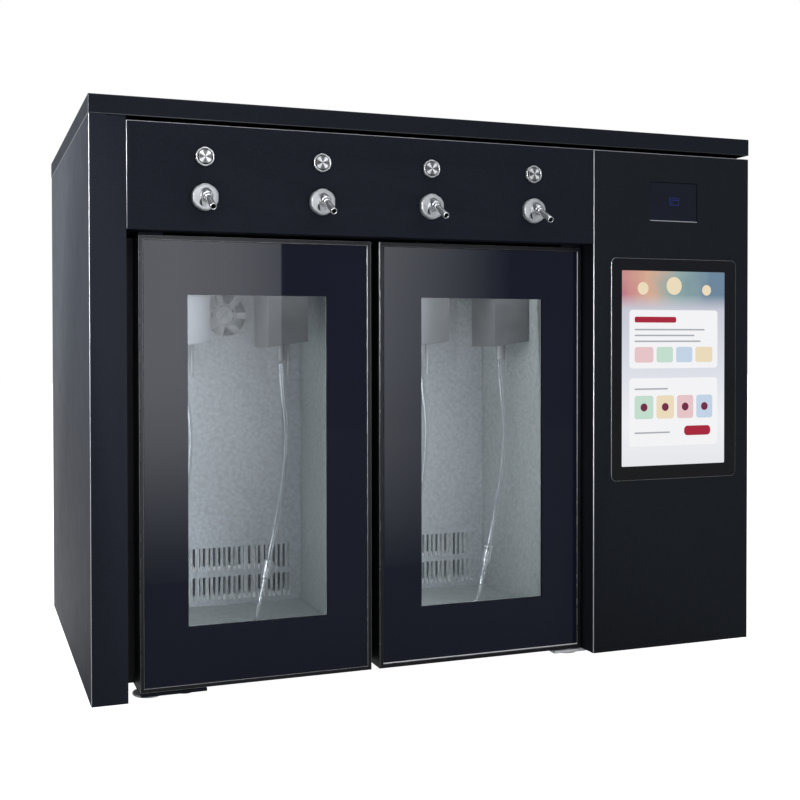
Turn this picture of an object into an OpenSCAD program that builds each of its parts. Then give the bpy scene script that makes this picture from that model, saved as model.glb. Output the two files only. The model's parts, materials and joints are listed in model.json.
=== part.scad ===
// Countertop wine preservation dispenser with four taps.
// Two chilled compartments with glass doors stand beside a machine column
// that carries the touch display, the card reader and the compressor.
// Every module is drawn from the casing's front lower left corner:
// X to the right, Y to the back, Z up from the underside of the panels.

/* [Casing] */
// Width of the casing
body_w = 744; // [700:1:820]
// Depth of the casing from the front sheet to the rear sheet
body_d = 433; // [420:1:480]
// Height from the underside of the panels to the top face
body_h = 574.5; // [560:0.5:640]
// Thickness of the top panel
slab_t = 18.5; // [12:0.5:24]
// How far the top panel reaches past the casing
slab_overhang = 0.5; // [0.2:0.1:2]
// Shadow gap under the front edge of the top panel
top_gap = 4; // [2:0.5:8]
// Thickness of the casing's sheet steel
sheet_t = 1.5; // [1:0.1:2]
// Width of the left corner pillar
pillar_w = 34.5; // [28:0.5:45]
// Width of the machine column
column_w = 204; // [196:1:240]
// Height of the control fascia
fascia_h = 102.5; // [92:0.5:115]
// Height of the feet under the panels
foot_h = 15; // [12:0.5:20]
// Width of the folded inner flanges of the panels
flange_w = 15; // [12:1:20]
// Depth of the right return of the column front
column_return = 20; // [12:1:30]
// Gap between neighbouring casing panels
panel_gap = 0.3; // [0.2:0.05:0.5]

/* [Doors] */
// How far the doors stand behind the front sheet
door_recess = 22; // [18:1:28]
// Thickness of a door
door_t = 35; // [32:1:42]
// Gap between the pillar and the left door
door_gap_pillar = 14.5; // [12:0.5:20]
// Gap between the right door and the machine column
door_gap_column = 3; // [3:0.1:6]
// Finger gap between the two doors
finger_gap = 9; // [6:0.5:14]
// Gap between a door and the fascia
door_gap_top = 3.3; // [3.1:0.1:5]
// Gap between a door's foot and the bottom hinge plate
door_gap_bottom = 1.2; // [0.8:0.1:2]
// Visible rim of the frame round the outer glass
door_rim = 4; // [3:0.5:6]
// Width of the frame's bars behind the glass
door_bar = 24; // [20:1:28]
// Thickness of the outer glass
outer_glass_t = 4; // [3:0.5:4]
// Thickness of the inner glass
inner_glass_t = 4; // [3:0.5:5]
// Thickness of the black mask behind the outer glass
mask_t = 1.2; // [0.8:0.1:2]
// Width of the clear window
window_w = 144; // [110:1:160]
// Height of the clear window
window_h = 327; // [260:1:340]
// How far the window's centre lies above the door's centre
window_rise = 1.7; // [0:0.1:8]
// Gap round a pane in its rebate
pane_gap = 0.3; // [0.2:0.05:0.5]
// Thickness of the gasket between door and cabinet
gasket_t = 8; // [7.5:0.5:10]
// Width of the gasket
gasket_w = 11; // [8:1:12]
// Inset of the gasket from a door's free edges
gasket_inset = 5; // [3:0.5:6]
// Inset of the gasket from a door's hinged edge
gasket_hinge_inset = 13; // [12.5:0.5:16]
// Free space between the gasket and the cabinet face
gasket_free = 0.2; // [0.1:0.05:0.3]

/* [Hinges] */
// Pivot behind the door's front face
pivot_back = 8; // [7.5:0.1:8.2]
// Pivot inside the door's hinged edge
pivot_in = 12; // [11.5:0.5:13]
// Diameter of a hinge pin
pin_d = 5; // [4:0.5:5]
// Radial clearance round a hinge pin
pin_clear = 0.05; // [0.02:0.01:0.1]
// Height of a hinge pin inside the door
pin_h = 14; // [10:1:20]
// Thickness of a bottom hinge plate
hinge_plate_t = 3; // [2:0.5:3]
// Thickness of a top hinge strap
hinge_strap_t = 2; // [1.5:0.1:2.5]
// Width of a top hinge strap
hinge_strap_w = 24; // [18:1:24]
// Depth of the hinge plates behind the pivot
hinge_reach = 80; // [60:1:100]

/* [Chilled cabinet] */
// Wall thickness of a compartment's liner
liner_t = 1.2; // [0.8:0.1:2]
// Width of a liner's front flange
liner_flange = 8; // [5:1:10]
// Space between gasket and compartment on the free side
cavity_margin = 2.5; // [2:0.5:5]
// Height of a compartment's floor
cavity_floor_z = 36; // [30:1:50]
// Thickness of the cabinet's insulation above the compartments
roof_t = 29; // [25:1:60]
// Clear depth of a compartment behind the cabinet face
cavity_d = 265; // [250:1:285]
// Depth of the bottle space in front of the evaporator cover
bottle_d = 147; // [130:1:155]
// Space between the insulated cabinet and the rear sheet
service_gap = 46.5; // [40:0.5:60]
// Thickness of the evaporator cover
cover_t = 1.5; // [1:0.1:2]
// Width of a return air slot
slot_w = 3; // [2:0.5:4]
// Pitch of the return air slots
slot_pitch = 6; // [5:0.5:10]
// Height of a return air slot
slot_h = 27; // [20:1:30]
// Height of the lower slot row above the floor
slot_row_z = 6; // [4:1:12]
// Height between the two slot rows
slot_row_step = 34; // [32:1:40]
// Diameter of an evaporator fan's opening
fan_d = 54; // [44:1:56]
// Depth of a fan's centre under the compartment's ceiling
fan_drop = 44; // [36:1:60]
// Sideways offset of a fan from the compartment's centre
fan_offset = 5; // [0:1:12]
// Width of a fan's square frame
fan_frame_w = 60; // [58:1:70]
// Depth of a fan's frame
fan_frame_d = 15; // [15:1:25]
// Diameter of a fan's hub
fan_hub_d = 22; // [16:1:26]

/* [Ports and hoses] */
// Width of a port housing under the ceiling
housing_w = 44; // [36:1:44]
// Depth of a port housing
housing_d = 60; // [50:1:80]
// Height of a port housing at its lower side
housing_h = 81; // [70:1:90]
// Rise of the housing's sloping underside
housing_slope = 6; // [0:1:12]
// Distance of the hoses behind the cabinet face
hose_back = 55; // [40:1:70]
// Outer diameter of a wine hose
hose_d = 6; // [5:0.5:7]
// Diameter of the nozzle that a hose leaves
nozzle_tip_d = 9; // [8:0.5:12]
// Diameter of a gas nipple
nipple_d = 4; // [3:0.5:5]
// Distance of a gas nipple from its hose
nipple_offset = 8; // [7.5:0.5:10]
// Length of a nozzle from its housing to the hose's start
nozzle_l = 21; // [16:1:30]
// Length of a gas nipple below the hose's start
nipple_drop = 16; // [10:1:24]
// Diameter of a hose's end connector
connector_d = 10; // [8:0.5:12]
// Length of a hose's end connector
connector_l = 20; // [14:1:24]
// Diameter of a dip stem
stem_d = 4; // [3:0.5:5]
// Diameter of a dip stem's foot
stem_foot_d = 10; // [8:0.5:14]

/* [Taps] */
// Distance between two taps
tap_pitch = 118.5; // [110:0.5:124]
// Depth of the tap centres under the fascia's top
tap_drop = 70; // [66:0.5:74]
// Depth of the button centres under the fascia's top
button_drop = 31; // [27:0.5:34]
// Width across flats of a tap's flange
tap_flange_af = 24.5; // [22:0.5:28]
// Thickness of a tap's flange
tap_flange_t = 6; // [4:0.5:8]
// Outer diameter of a spout tube
spout_d = 6.5; // [5:0.1:8]
// Bore of a spout tube
spout_bore = 4.5; // [3:0.1:4.8]
// Length of a spout tube
spout_l = 35; // [28:1:45]
// Downward slope of a spout tube in degrees
spout_slope = 27; // [15:1:35]
// Diameter of a spout's collar
collar_d = 11; // [9.5:0.5:13]
// Length of a spout's collar
collar_l = 12; // [8:1:14]
// Diameter of the threaded tail of a tap
tap_tail_d = 14; // [10:0.5:16]
// Length of a tap's tail behind the fascia
tap_tail_l = 26; // [22:1:34]

/* [Buttons] */
// Width across flats of a button's bezel
bezel_af = 18; // [17:0.5:20]
// Height of a bezel above the fascia
bezel_t = 4; // [3:0.5:5]
// Diameter of a button's barrel
barrel_d = 16; // [15.6:0.1:16.5]
// Length of a button's barrel behind the fascia
barrel_l = 24; // [20:1:32]
// Diameter of a push cap
cap_d = 13.6; // [12:0.1:13.8]
// Gap round a push cap
cap_gap = 0.5; // [0.3:0.1:0.5]
// Travel of a push cap
cap_travel = 2; // [1.5:0.1:2.5]
// Height of a push cap above its bezel
cap_proud = 0.4; // [0.2:0.1:0.8]
// Thickness of a push cap
cap_t = 4; // [3:0.5:5]
// Diameter of a push cap's stem
cap_stem_d = 5; // [4:0.5:6]

/* [Display] */
// Width of the display's cover glass
display_w = 165; // [155:1:175]
// Height of the display's cover glass
display_h = 247; // [235:1:255]
// Depth of the cover glass's upper edge under the panel's top
display_drop = 117; // [100:0.5:140]
// Distance from the column's left edge to the cover glass
display_inset = 21.3; // [16:0.1:26]
// Thickness of the cover glass
display_glass_t = 1.6; // [1.2:0.1:3]
// Corner radius of the cover glass
display_r = 6.5; // [4:0.5:10]
// Width of the picture area
picture_w = 135.6; // [130:0.1:140]
// Height of the picture area
picture_h = 217; // [205:0.5:222]
// Depth of the display module
module_d = 14; // [10:1:20]
// Width of the card reader's window
reader_w = 62.5; // [54:0.5:68]
// Height of the card reader's window
reader_h = 44; // [36:0.5:50]
// Depth of the card window's upper edge under the panel's top
reader_drop = 31.5; // [25:0.5:38]
// Distance from the column's left edge to the card window
reader_inset = 72; // [64:0.5:78]
// Recess of the card window behind the front sheet
reader_recess = 1; // [0.5:0.1:1.4]

/* [Machinery] */
// Diameter of the compressor's shell
compressor_d = 118; // [100:1:126]
// Height of the compressor's shell
compressor_h = 140; // [110:1:160]
// Width of the condenser
condenser_w = 170; // [150:1:180]
// Height of the condenser
condenser_h = 200; // [170:1:220]
// Depth of the condenser
condenser_d = 20; // [16:1:24]
// Diameter of the condenser fan
blower_d = 150; // [130:1:154]
// Diameter of the condenser fan's hub
blower_hub_d = 42; // [34:1:50]
// Depth of the condenser fan's frame
blower_frame_d = 26; // [24:1:32]
// Diameter of the gas tube that the inlet takes
gas_tube_d = 6; // [6:1:8]
// Length of the gas inlet behind the rear sheet
gas_inlet_l = 18; // [15:0.5:20]
// Radial clearance of the gas tube in its inlet
gas_clear = 0.05; // [0.02:0.01:0.1]

/* [Feet] */
// Diameter of a levelling foot
level_foot_d = 32; // [26:1:34]
// Thickness of a levelling foot's dish
level_foot_t = 5; // [4:0.5:6]
// Diameter of a levelling foot's stud
stud_d = 8; // [6:1:8]
// Radial clearance of a stud in its plate
stud_clear = 0.05; // [0.02:0.01:0.1]
// Distance of the levelling feet behind the front sheet
level_foot_y = 72; // [71.5:0.5:78]
// Diameter of a rubber foot
rubber_foot_d = 24; // [20:1:30]
// Distance of the rear feet from the back and side
foot_inset = 46; // [40:1:60]

/* [Hidden] */
$fn = 48;

// Colours
black_paint = "#24262b";
side_paint = "#2b2d33";
dark_plastic = "#1b1c1f";
liner_metal = "#b9bcbe";
foam_skin = "#17181a";
bright_steel = "#c9cbcd";
clear_glass = [0.55, 0.6, 0.62, 0.35];
clear_hose = [0.85, 0.88, 0.9, 0.7];

// Play between folded panels, and round what passes through a panel
panel_play = 0.5;
hole_play = 0.4;

// Heights and widths of the casing
slab_z = body_h - slab_t;
fascia_z1 = slab_z - top_gap;
fascia_z0 = fascia_z1 - fascia_h;
column_x = body_w - column_w;
back_in = body_d - sheet_t;
side_in = body_w - sheet_t;

// Doors, from the left
doors_span = column_x - pillar_w - door_gap_pillar - finger_gap - door_gap_column;
door_w = doors_span / 2;
door_x = [pillar_w + door_gap_pillar, column_x - door_gap_column - door_w];
door_z0 = door_gap_bottom;
door_h = fascia_z0 - door_gap_top - door_z0;
door_back = door_recess + door_t;
face_y = door_back + gasket_t;
rebate_t = outer_glass_t + pane_gap;
pivot_x = [door_x[0] + pivot_in, door_x[1] + door_w - pivot_in];
pivot_y = door_recess + pivot_back;
strap_z = fascia_z0 - panel_play - hinge_strap_t;
plate_clear = 0.1;

// Chilled cabinet
hinge_side = gasket_hinge_inset + gasket_w + cavity_margin + panel_play;
free_side = gasket_inset + gasket_w + cavity_margin;
cavity_w = door_w - hinge_side - free_side;
cavity_x = [door_x[0] + hinge_side, door_x[1] + free_side];
cabinet_z1 = strap_z;
cabinet_d = back_in - service_gap - face_y;
cavity_z1 = cabinet_z1 - roof_t;
cavity_h = cavity_z1 - cavity_floor_z;
cover_y = face_y + bottle_d;
fan_x = [for (x = cavity_x) x + cavity_w / 2 + fan_offset];
fan_z = cavity_z1 - fan_drop;
fan_axle_d = 3;
axle_clear = 0.05;

// Hoses: distances of each compartment's two ports from its left and right walls
port_left = [36, 70];
port_right = [51, 23];
port_x = [for (i = [0, 1]) each [cavity_x[i] + port_left[i], cavity_x[i] + cavity_w - port_right[i]]];
port_y = face_y + hose_back;
hose_top_z = cavity_z1 - housing_h + housing_slope - nozzle_l;
// Route of a hose from its nozzle: sideways, backwards, and down
hose_route = [
    [0, 0, 0], [0, 0, -12], [1, 0, -27], [2.5, 0, -42], [4.3, 0, -56], [5.5, 0, -70],
    [6, 0, -84], [5.5, 0, -98], [4.5, 0, -112], [3, 0, -126], [1, 0, -140], [-1.5, 0, -154],
    [-4, 0, -168], [-6.5, 0, -182], [-9.5, 0, -196], [-12, 0, -208], [-14.5, 0, -219]
];
hose_sides = 8;

// Taps and buttons
fascia_mid = (pillar_w + column_x) / 2;
tap_x = [for (i = [0:3]) fascia_mid + (i - 1.5) * tap_pitch];
tap_z = fascia_z1 - tap_drop;
button_z = fascia_z1 - button_drop;
spout_root = [-8, 2.5];
spout_tip_y = spout_root[0] - spout_l * cos(spout_slope) - spout_d / 2 * sin(spout_slope);
valve_w = 26;
valve_d = 40;
valve_h = 26;
tube_d = 6;
port_hole_d = tube_d + 1;
button_pocket = cap_travel + 1;

// Origin at the middle of the whole box, on the table
front_y = -(body_d + gas_inlet_l + spout_tip_y) / 2;

module placed() {
    translate([-body_w / 2, front_y, foot_h]) children();
}

// A box from its lowest and highest corners
module block(low, high) {
    translate(low) cube(high - low);
}

// A cylinder that runs backwards, +Y, from a point
module rod_y(at, d, l) {
    translate(at) rotate([-90, 0, 0]) cylinder(d = d, h = l);
}

// A cylinder that runs to the right, +X, from a point
module rod_x(at, d, l) {
    translate(at) rotate([0, 90, 0]) cylinder(d = d, h = l);
}

// A cylinder between two points
module rod(a, b, d) {
    v = b - a;
    l = norm(v);
    translate(a) rotate([0, acos(v[2] / l), atan2(v[1], v[0])]) cylinder(d = d, h = l);
}

// A flat outline in X and Z, given thickness from y0 to y1
module plate_xz(y0, y1) {
    translate([0, y1, 0]) rotate([90, 0, 0]) linear_extrude(y1 - y0) children();
}

// A rectangle with round corners, from its lower left corner
module round_rect(w, h, r) {
    translate([r, 0]) square([w - 2 * r, h]);
    translate([0, r]) square([w, h - 2 * r]);
    for (x = [r, w - r], y = [r, h - r]) translate([x, y]) circle(r);
}

// A hexagon whose corners are rounded off by a circle, corners up and down
module soft_hex(af, round_d) {
    intersection() {
        rotate(90) circle(d = af / cos(30), $fn = 6);
        circle(d = round_d);
    }
}

// ---- Casing ----

module top_panel() {
    color(black_paint) placed() difference() {
        block([-slab_overhang, -slab_overhang, slab_z],
            [body_w + slab_overhang, body_d + slab_overhang, body_h]);
        block([sheet_t, sheet_t, slab_z - 1],
            [side_in, back_in, body_h - sheet_t]);
    }
}

// Sheet that closes one side, with a flange for the top and one for the rear
module side_sheet(y0) {
    block([0, y0, 0], [sheet_t, body_d, slab_z]);
    block([0, y0, slab_z - sheet_t], [flange_w, back_in, slab_z]);
    difference() {
        block([0, back_in - sheet_t, sheet_t], [flange_w, back_in, slab_z]);
        rear_screw_holes(rear_screw_x[0]);
    }
}

screw_margin = 40;
rear_screw_z = [screw_margin, body_h / 2, slab_z - screw_margin];
rear_screw_x = [flange_w / 2, body_w - flange_w / 2];
screw_d = 3;
screw_head_d = 6;
screw_head_h = 2;
screw_l = 10;
screw_clear = 0.02;

module rear_screw_holes(x) {
    for (z = rear_screw_z)
        rod_y([x, back_in - sheet_t - 1, z], screw_d + 2 * screw_clear, 3 * sheet_t + 2);
}

module casing_screws() {
    color(bright_steel) placed() for (x = rear_screw_x, z = rear_screw_z) {
        rod_y([x, body_d - screw_l, z], screw_d, screw_l + 1);
        rod_y([x, body_d, z], screw_head_d, screw_head_h);
    }
}

module left_side_panel() {
    color(side_paint) placed() {
        side_sheet(0);
        block([0, 0, 0], [pillar_w, sheet_t, slab_z - panel_play]);
        block([pillar_w - sheet_t, 0, 0], [pillar_w, face_y - panel_play, slab_z - panel_play]);
    }
}

module right_side_panel() {
    color(side_paint) placed() translate([body_w, 0, 0]) mirror([1, 0, 0])
        side_sheet(column_return + panel_gap);
}

louvre_w = 60;
louvre_h = 4;
louvre_pitch = 11;
louvre_gap = 20;
louvre_rows = 16;
louvre_z = 30;
inlet_size = [48, 28];
inlet_inset = 40;
inlet_drop = 130;
inlet_at = [column_x + inlet_inset, body_h - inlet_drop];
switch_size = [13, 19];
switch_pitch = 60;
switch_at = [inlet_at[0] + switch_pitch, inlet_at[1]];
gas_inlet_inset = 20;
gas_inlet_x = port_x[3] - gas_inlet_inset;
gas_rise = 12;
gas_z = cabinet_z1 + gas_rise;

module rear_panel() {
    color(black_paint) placed() difference() {
        plate_xz(back_in, body_d) difference() {
            translate([sheet_t, 0]) square([body_w - 2 * sheet_t, slab_z]);
            for (side = [0, 1], i = [0:louvre_rows - 1])
                translate([column_x + louvre_gap + side * (louvre_w + louvre_gap), louvre_z + i * louvre_pitch])
                    square([louvre_w, louvre_h]);
            translate(inlet_at) square(inlet_size, center = true);
            translate(switch_at) square(switch_size, center = true);
            translate([gas_inlet_x, gas_z]) circle(d = gas_thread_d + hole_play);
        }
        for (x = rear_screw_x) rear_screw_holes(x);
    }
}

level_foot_offset = [3.5, 20];
level_foot_x = [pivot_x[0] + level_foot_offset[0], pivot_x[1] + level_foot_offset[1]];
stud_room = 2;

// Floor with a tongue under the pillar and one under the machine column
module base_plate() {
    color(black_paint) placed() difference() {
        union() {
            block([sheet_t, face_y, 0], [side_in, back_in, sheet_t]);
            block([sheet_t, sheet_t, 0],
                [pillar_w - sheet_t - panel_gap, face_y, sheet_t]);
            block([column_x + sheet_t + panel_gap, flange_w + panel_gap, 0],
                [side_in, face_y, sheet_t]);
        }
        for (x = level_foot_x)
            translate([x, level_foot_y, -1]) cylinder(d = stud_d + 2 * stud_room, h = sheet_t + 2);
    }
}

module control_fascia() {
    x0 = pillar_w + panel_gap;
    x1 = column_x - panel_gap;
    color(black_paint) placed() {
        plate_xz(0, sheet_t) difference() {
            translate([x0, fascia_z0]) square([x1 - x0, fascia_h]);
            for (x = tap_x) {
                translate([x, tap_z]) circle(d = tap_tail_d + hole_play);
                translate([x, button_z]) circle(d = barrel_d + hole_play);
            }
        }
        block([x0, 0, fascia_z0], [x1, face_y, fascia_z0 + sheet_t]);
        block([x0, 0, fascia_z1 - sheet_t], [x1, flange_w, fascia_z1]);
    }
}

module column_front_panel() {
    color(black_paint) placed() {
        plate_xz(0, sheet_t) difference() {
            translate([column_x, 0]) square([column_w, fascia_z1]);
            translate([display_x + display_edge, display_z + display_edge])
                square([display_w - 2 * display_edge, display_h - 2 * display_edge]);
            translate([column_x + reader_inset, reader_z]) square([reader_w, reader_h]);
        }
        block([column_x, 0, 0], [column_x + sheet_t, face_y, fascia_z1]);
        block([side_in, 0, 0], [body_w, column_return, fascia_z1]);
        block([column_x, 0, fascia_z1 - sheet_t], [body_w, flange_w, fascia_z1]);
        block([column_x, 0, 0], [body_w, flange_w, sheet_t]);
    }
}

module column_partition() {
    color(liner_metal) placed() {
        block([column_x - sheet_t, face_y, sheet_t], [column_x, back_in - panel_gap, slab_z]);
        block([column_x - sheet_t, face_y, slab_z - sheet_t],
            [column_x + flange_w, back_in - panel_gap, slab_z]);
    }
}

// ---- Chilled cabinet ----

module insulated_cabinet() {
    color(foam_skin) placed() difference() {
        block([sheet_t + panel_gap, face_y, sheet_t],
            [column_x - sheet_t - panel_gap, face_y + cabinet_d, cabinet_z1]);
        for (x = cavity_x)
            block([x - liner_t, face_y - 1, cavity_floor_z - liner_t],
                [x + cavity_w + liner_t, face_y + cavity_d + liner_t, cavity_z1 + liner_t]);
        for (x = port_x)
            translate([x, port_y, cavity_z1]) cylinder(d = port_hole_d, h = body_h);
        translate([level_foot_x[0], level_foot_y, 0])
            cylinder(d = stud_d + 2 * stud_room, h = stud_top + 2 * stud_room);
    }
}

// Liners with a front flange that the door gaskets close on
module cavity_liners() {
    flange_y = face_y - liner_t;
    color(liner_metal) placed() for (i = [0, 1]) let (x = cavity_x[i]) difference() {
        union() {
            block([x - liner_t, flange_y, cavity_floor_z - liner_t],
                [x + cavity_w + liner_t, face_y + cavity_d + liner_t, cavity_z1 + liner_t]);
            block([x - liner_flange, flange_y, cavity_floor_z - liner_flange],
                [x + cavity_w + liner_flange, face_y, cavity_z1 + liner_flange]);
        }
        block([x, flange_y - 1, cavity_floor_z], [x + cavity_w, face_y + cavity_d, cavity_z1]);
        for (k = [2 * i, 2 * i + 1])
            translate([port_x[k], port_y, cavity_z1 - 1]) cylinder(d = port_hole_d, h = liner_t + 2);
    }
}

guard_ring = 2.5;
slot_margin = 12;

module fan_guard() {
    for (d = [fan_d + 0.1, fan_d * 0.52]) difference() {
        circle(d = d);
        circle(d = d - 2 * guard_ring);
    }
    for (a = [45, 135]) rotate(a) square([fan_d, guard_ring], center = true);
}

// Plate behind the bottles, with the fan's opening above and two slot rows below
module evaporator_covers() {
    side = hole_play;
    slots = floor((cavity_w - 2 * slot_margin) / slot_pitch);
    color(liner_metal) placed() for (i = [0, 1]) plate_xz(cover_y, cover_y + cover_t) {
        difference() {
            translate([cavity_x[i] + side, cavity_floor_z]) square([cavity_w - 2 * side, cavity_h]);
            translate([fan_x[i], fan_z]) circle(d = fan_d);
            for (row = [0, 1], k = [0:slots - 1])
                translate([cavity_x[i] + cavity_w / 2 + (k - (slots - 1) / 2) * slot_pitch - slot_w / 2,
                    cavity_floor_z + slot_row_z + row * slot_row_step])
                    square([slot_w, slot_h]);
        }
        translate([fan_x[i], fan_z]) fan_guard();
    }
}

evaporator_gap = 50;
evaporator_y = cover_y + evaporator_gap;
evaporator_size = [150, 40, 200];
fin_count = 14;
fin_t = 1;
coil_tube_d = 8;
coil_tube_out = 6;

// Finned coil that stands on the compartment's floor behind the cover
module evaporators() {
    w = evaporator_size[0];
    d = evaporator_size[1];
    h = evaporator_size[2];
    pitch = (w - fin_t) / (fin_count - 1);
    color("silver") placed() for (x = cavity_x)
        translate([x + (cavity_w - w) / 2, evaporator_y, cavity_floor_z]) {
        for (k = [0:fin_count - 1]) translate([k * pitch, 0, 0]) cube([fin_t, d, h]);
        for (y = [d * 0.25, d * 0.75], z = [h * 0.15, h * 0.38, h * 0.62, h * 0.85])
            rod_x([-coil_tube_out, y, z], coil_tube_d, w + 2 * coil_tube_out);
    }
}

stator_t = 3;
fan_clear = 2;
blade_lean = 35;
blade_t = 1.2;
fan_chord = 9;

// Square fan frames behind the covers, each with its motor plate and axle
module evaporator_fan_frames() {
    y0 = cover_y + cover_t;
    y1 = y0 + fan_frame_d;
    color(dark_plastic) placed() for (x = fan_x) {
        plate_xz(y0, y1) difference() {
            translate([x, fan_z]) square(fan_frame_w, center = true);
            translate([x, fan_z]) circle(d = fan_d + fan_clear);
        }
        plate_xz(y1 - stator_t, y1) {
            translate([x, fan_z]) circle(d = fan_hub_d);
            for (a = [0, 60, 120]) translate([x, fan_z]) rotate(a)
                square([fan_d + fan_clear + 1, stator_t], center = true);
        }
        rod_y([x, y0 + fan_clear, fan_z], fan_axle_d, fan_frame_d - fan_clear - 1);
    }
}

// One flat blade, pitched about its own radius
module blade(inner, outer, chord, depth, lean) {
    rotate([lean, 0, 0]) translate([inner, -depth / 2, -chord / 2])
        cube([outer - inner, depth, chord]);
}

// A fan wheel with its axis on Y, centred on the origin
module fan_wheel(d, hub_d, depth, blades, chord, bore_d) {
    difference() {
        union() {
            translate([0, -depth / 2, 0]) rotate([-90, 0, 0]) cylinder(d = hub_d, h = depth);
            for (k = [0:blades - 1]) rotate([0, k * 360 / blades, 0])
                blade(hub_d / 2 - 2, d / 2, chord, blade_t, blade_lean);
        }
        translate([0, -depth, 0]) rotate([-90, 0, 0]) cylinder(d = bore_d, h = 2 * depth);
    }
}

module evaporator_rotor(i) {
    depth = fan_frame_d - stator_t - 2 * fan_clear - 1;
    color("dimgray") placed()
        translate([fan_x[i], cover_y + cover_t + fan_clear + 1 + depth / 2, fan_z])
            fan_wheel(fan_d - fan_clear, fan_hub_d - 2, depth, 7, fan_chord, fan_axle_d + 2 * axle_clear);
}

module evaporator_rotor_left() { evaporator_rotor(0); }
module evaporator_rotor_right() { evaporator_rotor(1); }

led_size = [12, 5];
led_inset = [10, 6];

module led_strips() {
    color("ivory") placed() for (x = cavity_x)
        block([x + led_inset[0], face_y + led_inset[1], cavity_z1 - led_size[1]],
            [x + cavity_w - led_inset[0], face_y + led_inset[1] + led_size[0], cavity_z1]);
}

// ---- Ports, hoses and their end fittings ----

// Housing under the ceiling with the wine nozzle and the gas nipple
module port_housings() {
    z0 = cavity_z1 - housing_h;
    color(liner_metal) placed() for (x = port_x) {
        plate_xz(port_y - housing_d / 2, port_y + housing_d / 2)
            translate([x, 0]) polygon([
                [-housing_w / 2, cavity_z1], [-housing_w / 2, z0],
                [housing_w / 2, z0 + housing_slope], [housing_w / 2, cavity_z1]
            ]);
        translate([x, port_y, hose_top_z])
            cylinder(d = nozzle_tip_d, h = z0 + housing_slope - hose_top_z);
        translate([x + nipple_offset, port_y, hose_top_z - nipple_drop])
            cylinder(d = nipple_d, h = z0 + housing_slope - hose_top_z + nipple_drop);
    }
}

function unit(v) = v / norm(v);
// Direction of the route at point i
function heading(path, i) =
    unit(path[min(i + 1, len(path) - 1)] - path[max(i - 1, 0)]);
// One ring of points square to the heading; the hose lies in a plane of constant Y
function ring(path, i, d, sides) =
    let (t = heading(path, i), side = [0, 1, 0], up = cross(t, side))
    [for (k = [0:sides - 1])
        path[i] + d / 2 * (cos(360 * k / sides) * side + sin(360 * k / sides) * up)];

// A tube along a route, as one polyhedron
module swept_tube(path, d, sides) {
    n = len(path);
    points = [for (i = [0:n - 1]) each ring(path, i, d, sides)];
    walls = [for (i = [0:n - 2], k = [0:sides - 1])
        let (a = i * sides + k, b = i * sides + (k + 1) % sides)
        each [[a, b, b + sides], [a, b + sides, a + sides]]];
    first = [for (k = [sides - 1:-1:0]) k];
    last = [for (k = [0:sides - 1]) (n - 1) * sides + k];
    polyhedron(points, concat(walls, [first, last]));
}

module wine_hose(i) {
    color(clear_hose) placed() translate([port_x[i], port_y, hose_top_z])
        swept_tube(hose_route, hose_d, hose_sides);
}

module wine_hose_1() { wine_hose(0); }
module wine_hose_2() { wine_hose(1); }
module wine_hose_3() { wine_hose(2); }
module wine_hose_4() { wine_hose(3); }

bead_d = 5.5;
bead_pitch = 5;
bead_count = 4;
stem_foot_t = 3;

// Clear connector, beaded barb and dip stem that stands on the floor
module hose_end_fittings() {
    end = hose_route[len(hose_route) - 1];
    along = heading(hose_route, len(hose_route) - 1);
    drop = hose_top_z + end[2] - cavity_floor_z - stem_foot_t / 2;
    reach = drop / -along[2];
    color(clear_hose) placed() for (x = port_x) {
        top = [x, port_y, hose_top_z] + end;
        foot = top + along * reach;
        rod(top, top + along * connector_l, connector_d);
        rod(top + along * (connector_l - 1), foot, stem_d);
        for (k = [0:bead_count - 1])
            translate(top + along * (connector_l + bead_d / 2 + k * bead_pitch)) sphere(d = bead_d);
        translate([foot[0], foot[1], cavity_floor_z]) cylinder(d = stem_foot_d, h = stem_foot_t);
    }
}

// ---- Doors ----

// Rectangle inset from a door's outline, as low and high corners in X and Z
function door_area(i, inset) = [
    [door_x[i] + inset, door_z0 + inset],
    [door_x[i] + door_w - inset, door_z0 + door_h - inset]
];

module door_slab(i, inset, y0, y1) {
    a = door_area(i, inset);
    block([a[0][0], y0, a[0][1]], [a[1][0], y1, a[1][1]]);
}

inner_rebate = 8;
inner_glass_back = 3;

module door_frame(i) {
    mid_x = door_x[i] + door_w / 2;
    mid_z = door_z0 + door_h / 2 + window_rise;
    glass_back = door_recess + rebate_t;
    inner_front = door_back - inner_glass_back - inner_glass_t - pane_gap;
    color(dark_plastic) placed() difference() {
        door_slab(i, 0, door_recess, door_back);
        door_slab(i, door_rim, door_recess - 1, glass_back);
        door_slab(i, door_bar, glass_back + mask_t, door_back + 1);
        door_slab(i, door_bar - inner_rebate, inner_front, door_back + 1);
        block([mid_x - window_w / 2, door_recess - 1, mid_z - window_h / 2],
            [mid_x + window_w / 2, door_back, mid_z + window_h / 2]);
        for (z = [door_z0 - 1, door_z0 + door_h - pin_h - 1])
            translate([pivot_x[i], pivot_y, z]) cylinder(d = pin_d + 2 * pin_clear, h = pin_h + 2);
    }
}

module outer_glass(i) {
    color(clear_glass) placed()
        door_slab(i, door_rim + pane_gap, door_recess + pane_gap, door_recess + rebate_t);
}

module inner_glass(i) {
    y1 = door_back - inner_glass_back;
    color(clear_glass) placed()
        door_slab(i, door_bar - inner_rebate + pane_gap, y1 - inner_glass_t - pane_gap, y1 - pane_gap);
}

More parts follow.
